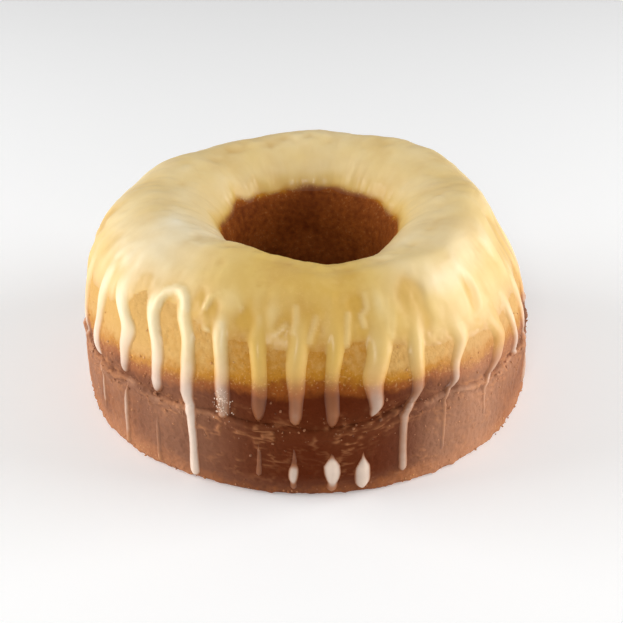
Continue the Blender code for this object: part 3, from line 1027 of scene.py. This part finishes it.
class Shader:
    """A node tree under construction, with short calls to add and join nodes."""

    def __init__(self, tree: bpy.types.NodeTree) -> None:
        """Start on an empty tree."""
        self.tree = tree
        tree.nodes.clear()

    @classmethod
    def of_material(cls, name: str) -> tuple[bpy.types.Material, "Shader"]:
        """A new material and the shader that builds it."""
        material = bpy.data.materials.new(name)
        material.use_nodes = True
        return material, cls(material.node_tree)

    def add(self, kind: str, inputs: dict | None = None, **settings) -> bpy.types.Node:
        """Add a node.

        Args:
            kind: Blender's name for the node, which may leave out a leading ShaderNode.
            inputs: Input sockets by name or number, each given a value or a socket to link.
            **settings: The node's own properties.

        Returns:
            The new node.
        """
        node = self.tree.nodes.new(kind if kind.startswith("NodeGroup") else "ShaderNode" + kind)
        for name, value in settings.items():
            setattr(node, name, value)
        for key, value in (inputs or {}).items():
            if isinstance(value, Socket):
                self.tree.links.new(value, node.inputs[key])
            else:
                node.inputs[key].default_value = value
        return node

    def attribute(self, name: str) -> Socket:
        """The number that a piece's vertices hold under a name."""
        return self.add("Attribute", attribute_name=name).outputs["Fac"]

    def place(self) -> Socket:
        """Object coordinates, which are the part's own frame in metres."""
        return self.add("TexCoord").outputs["Object"]

    def noise(self, place: Socket, scale: float, detail: float = 3.0) -> Socket:
        """Noise of so many cells a metre, about 0.5 on average."""
        return self.add("TexNoise", {"Vector": place, "Scale": scale, "Detail": detail}).outputs["Fac"]

    def math(self, operation: str, first: float | Socket, *others: float | Socket) -> Socket:
        """Numbers and sockets joined one after another by one step of arithmetic."""
        for other in others:
            first = self.add("Math", {0: first, 1: other}, operation=operation).outputs[0]
        return first

    def uneven(self, value: Socket, reach: float) -> Socket:
        """Noise of about 0.5 moved to about 0 and scaled by a reach."""
        return self.math("MULTIPLY", self.math("SUBTRACT", value, 0.5), reach)

    def ramp(self, value: Socket, low: float, high: float) -> Socket:
        """A smooth rise from 0 to 1 between two values."""
        inputs = {"Value": value, "From Min": low, "From Max": high}
        return self.add("MapRange", inputs, interpolation_type="SMOOTHSTEP").outputs["Result"]

    def mix(self, share: Socket, first: Socket | Colour, second: Socket | Colour) -> Socket:
        """A blend of two colours, each a socket or a linear colour."""
        first, second = (c if isinstance(c, Socket) else (*c, 1.0) for c in (first, second))
        return self.add("Mix", {0: share, 6: first, 7: second}, data_type="RGBA").outputs[2]

    def surface(self, bump: dict, sockets: dict) -> None:
        """Join a Principled surface, roughened by a bump, to the material's output."""
        normal = self.add("Bump", bump).outputs["Normal"]
        surface = self.add("BsdfPrincipled", {"Normal": normal, **sockets})
        self.add("OutputMaterial", {"Surface": surface.outputs["BSDF"]})


@dataclass(frozen=True)
class CakeTones:
    """Colours of the baked cake and its glaze, as linear colours."""

    gold: Colour = linear(211, 166, 98)
    amber: Colour = linear(188, 127, 38)
    brown: Colour = linear(144, 76, 26)
    dark: Colour = linear(90, 35, 9)
    fleck: Colour = linear(242, 196, 134)
    # Torn crumb, which also paints a highlight along the ledge's lip.
    crumb: Colour = linear(212, 144, 96)
    # Pale tone: a painted veil of reflected light on the sides, a painted highlight along the lip, and a
    # lighter foot.
    pale: Colour = linear(214, 164, 132)
    cream: Colour = linear(251, 237, 204)
    milk: Colour = linear(248, 226, 206)
    honey: Colour = linear(224, 142, 72)
    syrup: Colour = linear(238, 204, 112)
    pool: Colour = linear(212, 166, 64)

    def baked_group(self) -> bpy.types.NodeTree:
        """Shared group: the baked cake, from golden to dark crust, with flecks of crumb.

        The browning wanders at two scales, and passes through four tones. Flecks are the
        cells of a fine noise above a level, and the pale tone and torn crumb are mixed in:
        the pale tone paints a veil of reflected light on the sides and lightens the foot,
        and both paint a highlight along the ledge's lip.

        Returns:
            The group, which both the crust and the glaze place in their materials.
        """
        tree = bpy.data.node_groups.new("cake_tone", "ShaderNodeTree")
        for name in ("Bake", "Torn", "Pale"):
            tree.interface.new_socket(name, in_out="INPUT", socket_type="NodeSocketFloat")
        tree.interface.new_socket("Place", in_out="INPUT", socket_type="NodeSocketVector")
        tree.interface.new_socket("Colour", in_out="OUTPUT", socket_type="NodeSocketColor")
        shader = Shader(tree)
        given = shader.add("NodeGroupInput").outputs
        place = given["Place"]
        broad = shader.uneven(shader.noise(place, 60.0), 0.34)
        fine = shader.uneven(shader.noise(place, 480.0, 4.0), 0.30)
        bake = shader.math("ADD", given["Bake"], broad, fine)
        colour = shader.mix(shader.ramp(bake, 0.02, 0.34), self.gold, self.amber)
        colour = shader.mix(shader.ramp(bake, 0.28, 0.62), colour, self.brown)
        colour = shader.mix(shader.ramp(bake, 0.60, 0.95), colour, self.dark)
        fresh = shader.math("MULTIPLY", shader.ramp(bake, 0.12, 0.42), 0.20)
        crust = shader.math("MULTIPLY", shader.ramp(bake, 0.50, 0.88), -0.33)
        flecks = shader.ramp(shader.noise(place, 1250.0, 2.0), 0.56, 0.68)
        flecks = shader.math("MULTIPLY", flecks, shader.math("ADD", fresh, crust, 0.06))
        colour = shader.mix(flecks, colour, self.fleck)
        # Pale: a painted veil of reflected light on the sides, a painted highlight along the lip, and a
        # lighter foot.
        colour = shader.mix(given["Pale"], colour, self.pale)
        # Torn crumb, with a painted highlight along the ledge's lip.
        colour = shader.mix(shader.math("MULTIPLY", given["Torn"], 0.48), colour, self.crumb)
        shader.add("NodeGroupOutput", {"Colour": colour})
        return tree

    @staticmethod
    def baked(shader: Shader, group: bpy.types.NodeTree) -> Socket:
        """The baked colour in a material, from the vertices' bake, torn and pale."""
        inputs = {name.title(): shader.attribute(name) for name in ("bake", "torn", "pale")}
        inputs["Place"] = shader.place()
        return shader.add("Group", inputs, node_tree=group).outputs["Colour"]


@dataclass(frozen=True)
class CrustFinish:
    """Baked crust: dull and grainy, golden above and dark brown below."""

    roughness: float = 0.66
    roughness_reach: float = 0.3
    grain_height: float = 0.34 * MM
    grain_strength: float = 0.9
    specular: float = 0.05

    def material(self, tones: CakeTones, group: bpy.types.NodeTree) -> bpy.types.Material:
        """Build the material, whose grain is a soft noise cut by small pores.

        Args:
            tones: The cake's colours.
            group: The shared group of the baked cake.

        Returns:
            The material, which reads the vertices' bake, torn and pale.
        """
        material, shader = Shader.of_material("baked_crust")
        place = shader.place()
        cells = shader.add("TexVoronoi", {"Vector": place, "Scale": 620.0}).outputs["Distance"]
        pores = shader.math("MULTIPLY", shader.ramp(cells, 0.05, 0.42), 0.35)
        grain = shader.math("ADD", shader.noise(place, 800.0, 5.0), pores)
        dull = shader.uneven(shader.noise(place, 160.0), self.roughness_reach)
        bump = {"Strength": self.grain_strength, "Distance": self.grain_height, "Height": grain}
        shader.surface(bump, {
            "Base Color": tones.baked(shader, group),
            "Roughness": shader.math("ADD", dull, self.roughness),
            "Specular IOR Level": self.specular,
        })
        return material


@dataclass(frozen=True)
class GlazeFinish:
    """Sugar glaze: wet and glossy, clear yellow where thin and cream where white."""

    roughness: float = 0.48
    roughness_reach: float = 0.2
    coat: float = 0.18
    coat_roughness: float = 0.18
    specular: float = 0.35
    ior: float = 1.46
    ripple_height: float = 0.25 * MM
    ripple_strength: float = 0.5
    syrup_share: float = 0.85
    pool_share: float = 0.75
    yellow_between: tuple[float, float] = (36.0 * MM, 52.0 * MM)
    milk_between: tuple[float, float] = (0.17, 0.64)

    def material(self, tones: CakeTones, group: bpy.types.NodeTree) -> bpy.types.Material:
        """Build the material.

        Args:
            tones: The cake's colours.
            group: The shared group of the baked cake.

        Returns:
            The material, which reads the vertices' bake, torn, pale, film, pool and cloud.
        """
        material, shader = Shader.of_material("sugar_glaze")
        place = shader.place()
        golden = shader.math("SUBTRACT", 1.0, shader.ramp(shader.attribute("bake"), 0.18, 0.78))
        up = shader.add("SeparateXYZ", {"Vector": place}).outputs["Z"]
        high = shader.ramp(up, *self.yellow_between)
        golden = shader.math("MULTIPLY", shader.math("ADD", shader.math("MULTIPLY", high, 0.6), 0.4), golden)
        wet = shader.math("MULTIPLY", golden, self.syrup_share, shader.attribute("film"))
        colour = shader.mix(wet, tones.baked(shader, group), tones.syrup)
        pooled = shader.math("MULTIPLY", shader.attribute("pool"), self.pool_share, golden)
        colour = shader.mix(pooled, colour, tones.pool)
        mottle = shader.uneven(shader.noise(place, 110.0, 4.0), 0.7)
        white = shader.math("MULTIPLY", shader.attribute("cloud"), shader.math("ADD", mottle, 1.0))
        milk = shader.mix(shader.ramp(white, *self.milk_between), tones.honey, tones.milk)
        colour = shader.mix(white, colour, shader.mix(high, milk, tones.cream))
        dull = shader.uneven(shader.noise(place, 60.0, 2.0), self.roughness_reach)
        ripple = shader.noise(place, 150.0, 2.0)
        bump = {"Strength": self.ripple_strength, "Distance": self.ripple_height, "Height": ripple}
        shader.surface(bump, {
            "Base Color": colour,
            "Roughness": shader.math("ADD", dull, self.roughness),
            "Coat Weight": self.coat,
            "Coat Roughness": self.coat_roughness,
            "Specular IOR Level": self.specular,
            "IOR": self.ior,
        })
        return material


@dataclass(frozen=True)
class Baking:
    """How far each place of the even ring is baked, from 0, golden, to 1, dark.

    The side turns from gold to dark brown round a middle height that is greater at the
    front, the band below the ledge is a little paler away from the front, which is a
    painted veil of reflected light, and the foot of the cake is paler too.
    """

    form: RingForm
    middle: float = 34.0 * MM
    half_reach: float = 8.6 * MM
    front_at: tuple[float, float] = (-1.0, 26.0)
    front_rise: float = 4.2 * MM
    wander: float = 1.4 * MM
    # Painted veil of reflected light on the band's sides.
    band_sheen_paler: float = 0.20
    foot_paler: float = 0.60
    front_darker: float = 0.14
    front_offset: float = 0.28
    hole: float = 0.76
    hole_gold_between: tuple[float, float] = (61.0 * MM, 56.0 * MM)
    noise: Noise = field(default_factory=lambda: Noise(21))

    def level(self, patch: Patch) -> Array:
        """Browning over a patch of the even ring.

        Args:
            patch: The places.

        Returns:
            The browning at each place.
        """
        height, ledge = patch.height, self.form.ledge_height
        wander = self.wander * self.noise.rough(patch.points(), 9.0 * MM, 3)
        in_front = swell(patch.around, *self.front_at)
        middle = self.middle + self.front_rise * in_front + wander
        level = smoothstep(height - middle, self.half_reach, -self.half_reach)
        # Painted veil of reflected light: the band below the ledge is paler away from the front.
        level = level - self.band_sheen_paler * (1.0 - in_front) * smoothstep(height, ledge, ledge - 4.0 * MM)
        level = level + in_front * (self.front_offset + self.front_darker * level)
        foot = self.foot_paler * (0.35 + 0.65 * in_front)
        level = level - foot * smoothstep(height + wander, 10.0 * MM, 1.0 * MM)
        crest = self.form.crest_radius
        inside = smoothstep(patch.radius, crest, crest - 8.0 * MM)
        hole = self.hole * smoothstep(height + wander, *self.hole_gold_between)
        return level * (1.0 - inside) + hole * inside


@dataclass(frozen=True)
class Crumb:
    """Relief of the crumb over the even ring, and where it shows torn, pale and light.

    Pits are -depth * |noise|. The torn zone along the ledge adds rough noise and ropes,
    which are the thin places where a stretched noise passes through zero. The pale
    shares are those of the side, the band, the shoulder on the right, the foot and lip:
    on the side, the band and the shoulder the paleness is a painted veil of reflected
    light, at the lip it is a painted highlight, and the foot is simply lighter. The light
    mark is the torn crumb and its ropes, with a painted highlight along the lip.
    """

    form: RingForm
    outer_between: tuple[float, float] = (60.0 * MM, 66.0 * MM)
    patch_size: float = 14.0 * MM
    pit_depth: float = 0.30 * MM
    soft_depth: float = 0.12 * MM
    tear_depth: float = 0.54 * MM
    tear_spread: float = 4.6 * MM
    rope_height: float = 0.50 * MM
    rope_width: float = 0.20
    grain_depth: float = 0.16 * MM
    hem_depth: float = 0.40 * MM
    lip_spread: float = 0.9 * MM
    lip_drop: float = 0.6 * MM
    scattered: float = 0.60
    # Shares of the side, band and shoulder (a painted veil of reflected light), the foot, and the lip (a
    # painted highlight).
    pale_shares: tuple[float, ...] = (0.18, 0.14, 0.26, 0.10, 0.26)
    noise: Noise = field(default_factory=lambda: Noise(3))

    def over(self, patch: Patch) -> tuple[Array, Array]:
        """Work out the relief over a patch.

        Args:
            patch: Places on the even ring.

        Returns:
            How far each place moves outwards, and how torn it is, from 0 to 1, with a painted highlight along
            the ledge's lip.
        """
        points, height, ledge = patch.points(), patch.height, self.form.ledge_height
        noise = self.noise
        outer = smoothstep(patch.radius, *self.outer_between)
        blotch = 0.5 + 0.5 * noise.at(points, self.patch_size)
        low = smoothstep(height, 36.0 * MM, 24.0 * MM)
        relief = -self.pit_depth * np.abs(noise.rough(points, 2.6 * MM, 2)) * (0.2 + 0.8 * low)
        relief = relief + self.soft_depth * noise.at(points, 7.0 * MM) * outer

        near = bell(height - ledge + self.form.lip_height, self.tear_spread) * outer
        flat = points * np.array((0.45, 0.45, 1.5))
        drawn = noise.rough(flat, 1.9 * MM, 2)
        ropes = bell(drawn, self.rope_width) * smoothstep(noise.rough(points + 0.6, 3.4 * MM, 2), -0.25, 0.35)
        scattered = self.scattered * low * outer * smoothstep(blotch, 0.38, 0.85)
        torn = np.clip(near * (0.30 + 1.0 * blotch) + scattered, 0.0, 1.0)
        relief = relief + self.tear_depth * near * (noise.rough(flat + 0.05, 3.0 * MM, 3) - 0.2)
        relief = relief + self.grain_depth * noise.at(points + 0.1, 1.5 * MM) * outer
        relief = relief + self.rope_height * ropes * torn
        hem = self.hem_depth * smoothstep(height, 3.0 * MM, 0.2 * MM) * outer
        relief = relief + hem * noise.rough(points, 2.4 * MM, 2)

        # Painted highlight: a lighter line of crumb tone along the ledge's lip, weaker at the front.
        lip = bell(height - ledge + self.lip_drop, self.lip_spread) * outer
        blotchy = smoothstep(blotch + 0.3 * drawn, 0.25, 0.75)
        blotchy = blotchy * (1.0 - 0.85 * swell(patch.around, 0.0, 28.0))
        torn_and_lip_highlight = np.maximum(torn * (0.10 + 0.90 * ropes), 0.85 * lip * blotchy)
        return relief * smoothstep(height, 0.0, 0.4 * MM), torn_and_lip_highlight

    def pale(self, patch: Patch) -> Array:
        """How pale the crust is: away from the front, most below the ledge, and at the foot.

        Args:
            patch: Places on the even ring.

        Returns:
            The paleness at each place, from 0 to 1: a painted veil of reflected light on the side, the band
                and the right shoulder, a painted highlight along the lip, and a lighter foot.
        """
        points, height, around = patch.points(), patch.height, patch.around
        above = height - self.form.ledge_height
        side, band, shoulder, foot, lip = self.pale_shares
        in_front = np.exp(-((wrapped(around, 2.0) / 27.0) ** 4))
        # Painted veil of reflected light: paler on the side, the band and the right shoulder, away from the
        # front.
        level = side * smoothstep(above, 20.0 * MM, 6.0 * MM)
        level = level + band * smoothstep(above, 1.0 * MM, -2.0 * MM)
        level = level + shoulder * swell(around, 55.0, 22.0) * smoothstep(above, 32.0 * MM, 20.0 * MM)
        # Painted highlight along the ledge's lip.
        blotchy = smoothstep(self.noise.rough(points + 0.7, 5.0 * MM, 2), -0.2, 0.5)
        level = level + lip * blotchy * bell(above + self.lip_drop, self.lip_spread)
        level = level * (1.0 - in_front) * (1.0 - 0.4 * swell(around, 66.0, 24.0))
        level = level + foot * in_front * smoothstep(height, 9.0 * MM, 1.0 * MM)
        level = level * smoothstep(patch.radius, *self.outer_between)
        return level * (1.0 + 0.3 * self.noise.at(points, self.patch_size))


class PieceKind(Enum):
    """What a piece of the cake is made of, by the record's material slots."""

    CRUST = "crust"
    GLAZE = "glaze"


def hand_in(piece: Piece, material: bpy.types.Material) -> None:
    """Dress a finished piece, fix it to the cake's body and report it.

    Args:
        piece: The piece.
        material: Its finish.
    """
    piece.data.materials.append(material)
    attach(piece, BODY)
    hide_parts(NODE)
    triangles = sum(len(face.vertices) - 2 for face in piece.data.polygons)
    LOG.info("%s: %d triangles", piece.name, triangles)


@dataclass
class CakeBody:
    """The baked ring: its crown and base, and the band below the ledge."""

    form: RingForm
    baking: Baking
    crumb: Crumb
    crown_columns: int = 810
    band_columns: int = 1200

    def build(self, material: bpy.types.Material) -> None:
        """Turn the crown and the band, with the crumb's relief along their normals.

        Args:
            material: The crust.
        """
        sections = (
            ("cake_crown", self.form.crown_section(), self.crown_columns),
            ("crust_band", self.form.band_section(), self.band_columns),
        )
        for name, stretches, columns in sections:
            line, lengths = SectionLine.with_rows(stretches)
            patch = line.patch(lengths, columns)
            push, torn = self.crumb.over(patch)
            settled = self.form.settle(patch.points(push))
            piece = mesh_object(name, settled, ring_quads(len(lengths), columns))
            level, pale = self.baking.level(patch), self.crumb.pale(patch)
            paint(piece, slice(None), bake=level, torn=torn, pale=pale)
            hand_in(piece, material)


@dataclass
class LooseCrumbs:
    """Small crumbs that cling to the torn ledge, the browned side and the foot.

    Each is a 20-faced ball, stretched, turned and dented at random, half sunk in.
    """

    form: RingForm
    baking: Baking
    crumb: Crumb
    at_ledge: int = 420
    on_side: int = 620
    at_foot: int = 220
    smallest: float = 0.22 * MM
    largest: float = 0.62 * MM
    seed: int = 8

    def build(self, material: bpy.types.Material) -> None:
        """Scatter the crumbs.

        Args:
            material: The crust.
        """
        draw = np.random.default_rng(self.seed)
        ledge = self.form.ledge_height
        height = np.concatenate((
            draw.normal(ledge - 0.8 * MM, 1.7 * MM, self.at_ledge),
            draw.normal(ledge + 1.0 * MM, 9.0 * MM, self.on_side).clip(2.0 * MM, ledge + 22.0 * MM),
            draw.exponential(1.6 * MM, self.at_foot) + 0.5 * MM,
        ))
        count = len(height)
        around = draw.uniform(0.0, 4.0 * QUARTER, count)
        size = self.smallest + (self.largest - self.smallest) * draw.uniform(0.0, 1.0, count) ** 2.2
        patch = Patch(around, self.form.side_radius(height) - 0.15 * size, height)
        spin = np.linalg.qr(draw.normal(size=(count, 3, 3)))[0]
        spin[:, :, 0] *= np.sign(np.linalg.det(spin))[:, None]
        dents = draw.uniform(0.6, 1.2, (count, 12, 1)) * size[:, None, None]
        stretch = dents * draw.uniform(0.7, 1.3, (count, 1, 3))
        piece, which = ball_cloud("loose_crumbs", self.form.settle(patch.points()), stretch, spin)
        level = self.baking.level(patch) - draw.uniform(0.0, 0.30, count)
        pale = self.crumb.pale(patch) + draw.uniform(0.05, 0.30, count)
        paint(piece, which, bake=level, torn=draw.uniform(0.0, 0.6, count), pale=pale)
        hand_in(piece, material)


@dataclass
class Froth:
    """Tiny beads of glaze, which cling round the foot of one drip in front.

    Each is a 20-faced ball, and its place is drawn from a bell round the drip's foot.
    """

    form: RingForm
    count: int = 110
    azimuth: float = -19.8
    height: float = 31.8 * MM
    reach: tuple[float, float] = (1.15, 2.6 * MM)
    smallest: float = 0.12 * MM
    largest: float = 0.34 * MM
    stand: float = 1.30 * MM
    baked: float = 0.6
    seed: int = 15

    def build(self, material: bpy.types.Material) -> None:
        """Scatter the beads over the drip.

        Args:
            material: The glaze.
        """
        draw = np.random.default_rng(self.seed)
        height = draw.normal(self.height, self.reach[1], self.count)
        across = draw.normal(0.0, 1.0, self.count)
        around = np.radians(self.azimuth + self.reach[0] * across)
        size = self.smallest + (self.largest - self.smallest) * draw.uniform(0.0, 1.0, self.count) ** 2
        on_drip = self.stand * (1.0 - 0.46 * across**2).clip(0.0)
        on_drip = on_drip * smoothstep(height, 25.5 * MM, 28.0 * MM)
        middles = self.form.settle(Patch(around, self.form.side_radius(height) + on_drip, height).points())
        piece, which = ball_cloud("glaze_froth", middles, size[:, None, None], np.eye(3))
        cloud = draw.uniform(0.6, 1.0, self.count)
        paint(piece, which, bake=np.full(self.count, self.baked), film=np.ones(self.count), cloud=cloud)
        hand_in(piece, material)


@dataclass
class Glaze:
    """The glaze: a cap over the crown, and the drips that run from it."""

    form: RingForm
    glaze: GlazeForm
    baking: Baking
    crumb: Crumb
    cap_columns: int = 720
    cap_rows: int = 68
    drip_columns: int = 1100
    drip_rows: int = 104
    hand_over: float = 50.0 * MM
    dive: float = 3.0 * MM
    dive_depth: float = 1.2 * MM
    inner_sink: float = 0.9 * MM
    film_clear: float = 0.45 * MM
    cloud_clear: float = 0.54 * MM
    levelling: float = 0.45 * MM

    def _line(self) -> tuple[SectionLine, float]:
        """The glazed stretch of the section, from the hole's wall outwards.

        Returns:
            The line, and the length along it at which it passes the crest.
        """
        inner = self.form.inner_line(200)
        outer = self.form.outer_line()[1:]
        ledge = self.form.ledge_height
        upper = outer[outer[:, 1] > ledge + 1.5 * self.form.lip_height]
        over_lip = np.linspace(upper[-1, 1], ledge, 8)[1:-1]
        heights = np.concatenate((over_lip, np.linspace(ledge, 0.6 * MM, 60)))
        band = np.column_stack((self.form.side_radius(heights), heights))
        return SectionLine.through(np.vstack((inner, upper, band))), float(run_lengths(inner)[-1])

    def _piece(self, name: str, patch: Patch, above: bool) -> Piece:
        """One of the two shells, which dives under the other past the hand-over height.

        Past that height its thickness falls by depth * (distance / dive) ** 2, so both
        shells cross where their surfaces are the same. The crumb's relief shows through
        by exp(-thickness / levelling).

        Args:
            name: Name of the piece.
            patch: Places on the even ring.
            above: True for the cap, and False for the drips.

        Returns:
            The object, painted but not dressed.
        """
        coat = self.glaze.coat(patch)
        past = (self.hand_over - patch.height) if above else (patch.height - self.hand_over)
        past = np.clip(past * (patch.down > 0.0) / self.dive, 0.0, None)
        thickness = coat.thickness - self.dive_depth * past**2
        push, torn = self.crumb.over(patch)
        depth = np.clip(coat.thickness, 0.0, None)
        shown = np.maximum(thickness, -self.glaze.sunk) + push * np.exp(-depth / self.levelling)
        is_glaze = thickness > -0.9 * self.glaze.sunk
        corners = is_glaze[:-1] | is_glaze[1:]
        keep = corners | np.roll(corners, -1, axis=1)
        outer, inner = (self.form.settle(patch.points(out)) for out in (shown, -self.inner_sink))
        piece, which = shell_object(name, outer, inner, keep)
        film = 1.0 - np.exp(-depth / self.film_clear)
        cloud = coat.veil * (1.0 - np.exp(-depth / self.cloud_clear))
        level, pale = self.baking.level(patch), self.crumb.pale(patch)
        paint(piece, which, bake=level, torn=torn, pale=pale, pool=coat.pool, film=film, cloud=cloud)
        return piece

    def build(self, material: bpy.types.Material) -> None:
        """Make the cap and the drips.

        Args:
            material: The glaze.
        """
        line, crest = self._line()
        outer = line.length > crest
        heights, lengths = line.height[outer][::-1], line.length[outer][::-1]
        cap_end = np.interp(self.hand_over - 2.0 * self.dive, heights, lengths)
        drips_start = np.interp(self.hand_over + 1.5 * self.dive, heights, lengths)
        rim = self.glaze.hole_edge - 3.0 * self.glaze.hole_edge_wander
        inner = line.length < crest
        cap_start = np.interp(rim, line.height[inner], line.length[inner])
        cap_rows = np.linspace(cap_start, cap_end, self.cap_rows)
        drip_rows = np.linspace(drips_start, line.length[-1], self.drip_rows)
        cap = self._piece("glaze_cap", line.patch(cap_rows, self.cap_columns, crest), above=True)
        drips = self._piece("glaze_drips", line.patch(drip_rows, self.drip_columns, crest), above=False)
        for piece in (cap, drips):
            hand_in(piece, material)


@dataclass(frozen=True)
class Softbox:
    """A square area light: where it stands, its side and its power."""

    name: str
    place: Place
    side: float
    power: float


@dataclass
class Studio:
    """A pale floor, soft lights and the camera at the photograph's angle."""

    floor_tone: Colour = linear(244, 244, 244)
    floor_half: float = 4.0
    floor_drop: float = 0.3 * MM
    floor_roughness: float = 0.6
    floor_glow: float = 0.16
    world_strength: float = 0.24
    eye: Place = (1.07 * MM, -407.0 * MM, 245.2 * MM)
    aim: Place = (1.07 * MM, 0.0, 23.04 * MM)
    lens: float = 72.43
    box_aim: Place = (0.0, 0.0, 0.04)
    boxes: tuple[Softbox, ...] = (
        Softbox("left_box", (-0.95, 0.02, 0.34), 0.7, 9.0),
        Softbox("right_box", (0.95, 0.02, 0.34), 0.7, 9.5),
        Softbox("top_box", (0.0, 0.25, 0.95), 0.8, 0.2),
        Softbox("front_box", (-0.15, -1.0, 0.62), 0.25, 3.0),
    )

    def floor(self) -> None:
        """A wide, pale plane under the cake, a little below its crumbs."""
        half = self.floor_half
        sides = ((-half, -half), (half, -half), (half, half), (-half, half))
        corners = np.array([(x, y, -self.floor_drop) for x, y in sides])
        floor = mesh_object("floor", corners, np.array(((0, 1, 2, 3),)))
        material, shader = Shader.of_material("pale_floor")
        surface = shader.add("BsdfPrincipled", {
            "Base Color": (*self.floor_tone, 1.0),
            "Roughness": self.floor_roughness,
            "Emission Color": (1.0, 1.0, 1.0, 1.0),
            "Emission Strength": self.floor_glow,
        })
        shader.add("OutputMaterial", {"Surface": surface.outputs["BSDF"]})
        floor.data.materials.append(material)
        floor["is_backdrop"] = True

    @staticmethod
    def stand(name: str, data: bpy.types.ID, place: Place, aim: Place) -> Piece:
        """Stand a lamp or camera at a place, turned towards an aim."""
        thing = bpy.data.objects.new(name, data)
        thing.location = place
        thing.rotation_euler = (Vector(aim) - Vector(place)).to_track_quat("-Z", "Y").to_euler()
        bpy.context.scene.collection.objects.link(thing)
        return thing

    def build(self) -> None:
        """Set up the floor, the soft boxes, an even pale sky, the camera and the display."""
        self.floor()
        for box in self.boxes:
            lamp = bpy.data.lights.new(box.name, "AREA")
            lamp.shape = "SQUARE"
            lamp.size = box.side
            lamp.energy = box.power
            self.stand(box.name, lamp, box.place, self.box_aim)
        scene = bpy.context.scene
        world = bpy.data.worlds.new("pale_sky")
        world.use_nodes = True
        sky = world.node_tree.nodes["Background"].inputs
        sky["Color"].default_value = (1.0, 1.0, 1.0, 1.0)
        sky["Strength"].default_value = self.world_strength
        scene.world = world
        lens = bpy.data.cameras.new("camera")
        lens.lens = self.lens
        scene.camera = self.stand("camera", lens, self.eye, self.aim)
        scene.view_settings.view_transform = "Standard"
        LOG.info("studio: %d soft boxes", len(self.boxes))


def write_sizes() -> None:
    """Work out the solid's box and the finished model's box."""
    boxes = {"cad": CAD_BOX, "visual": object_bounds()}
    boxes = {name: [list(corner) for corner in box] for name, box in boxes.items()}


def main() -> None:
    """Build the studio and every piece of the cake."""
    logging.basicConfig(level=logging.INFO, format="%(name)s: %(message)s")
    Studio().build()
    form = RingForm()
    baking = Baking(form)
    crumb = Crumb(form)
    tones = CakeTones()
    group = tones.baked_group()
    crust = CrustFinish().material(tones, group)
    glaze = GlazeFinish().material(tones, group)
    CakeBody(form, baking, crumb).build(crust)
    LooseCrumbs(form, baking, crumb).build(crust)
    Glaze(form, GlazeForm(form, DripRule()), baking, crumb).build(glaze)
    Froth(form).build(glaze)
    write_sizes()


if __name__ == "__main__":
    main()
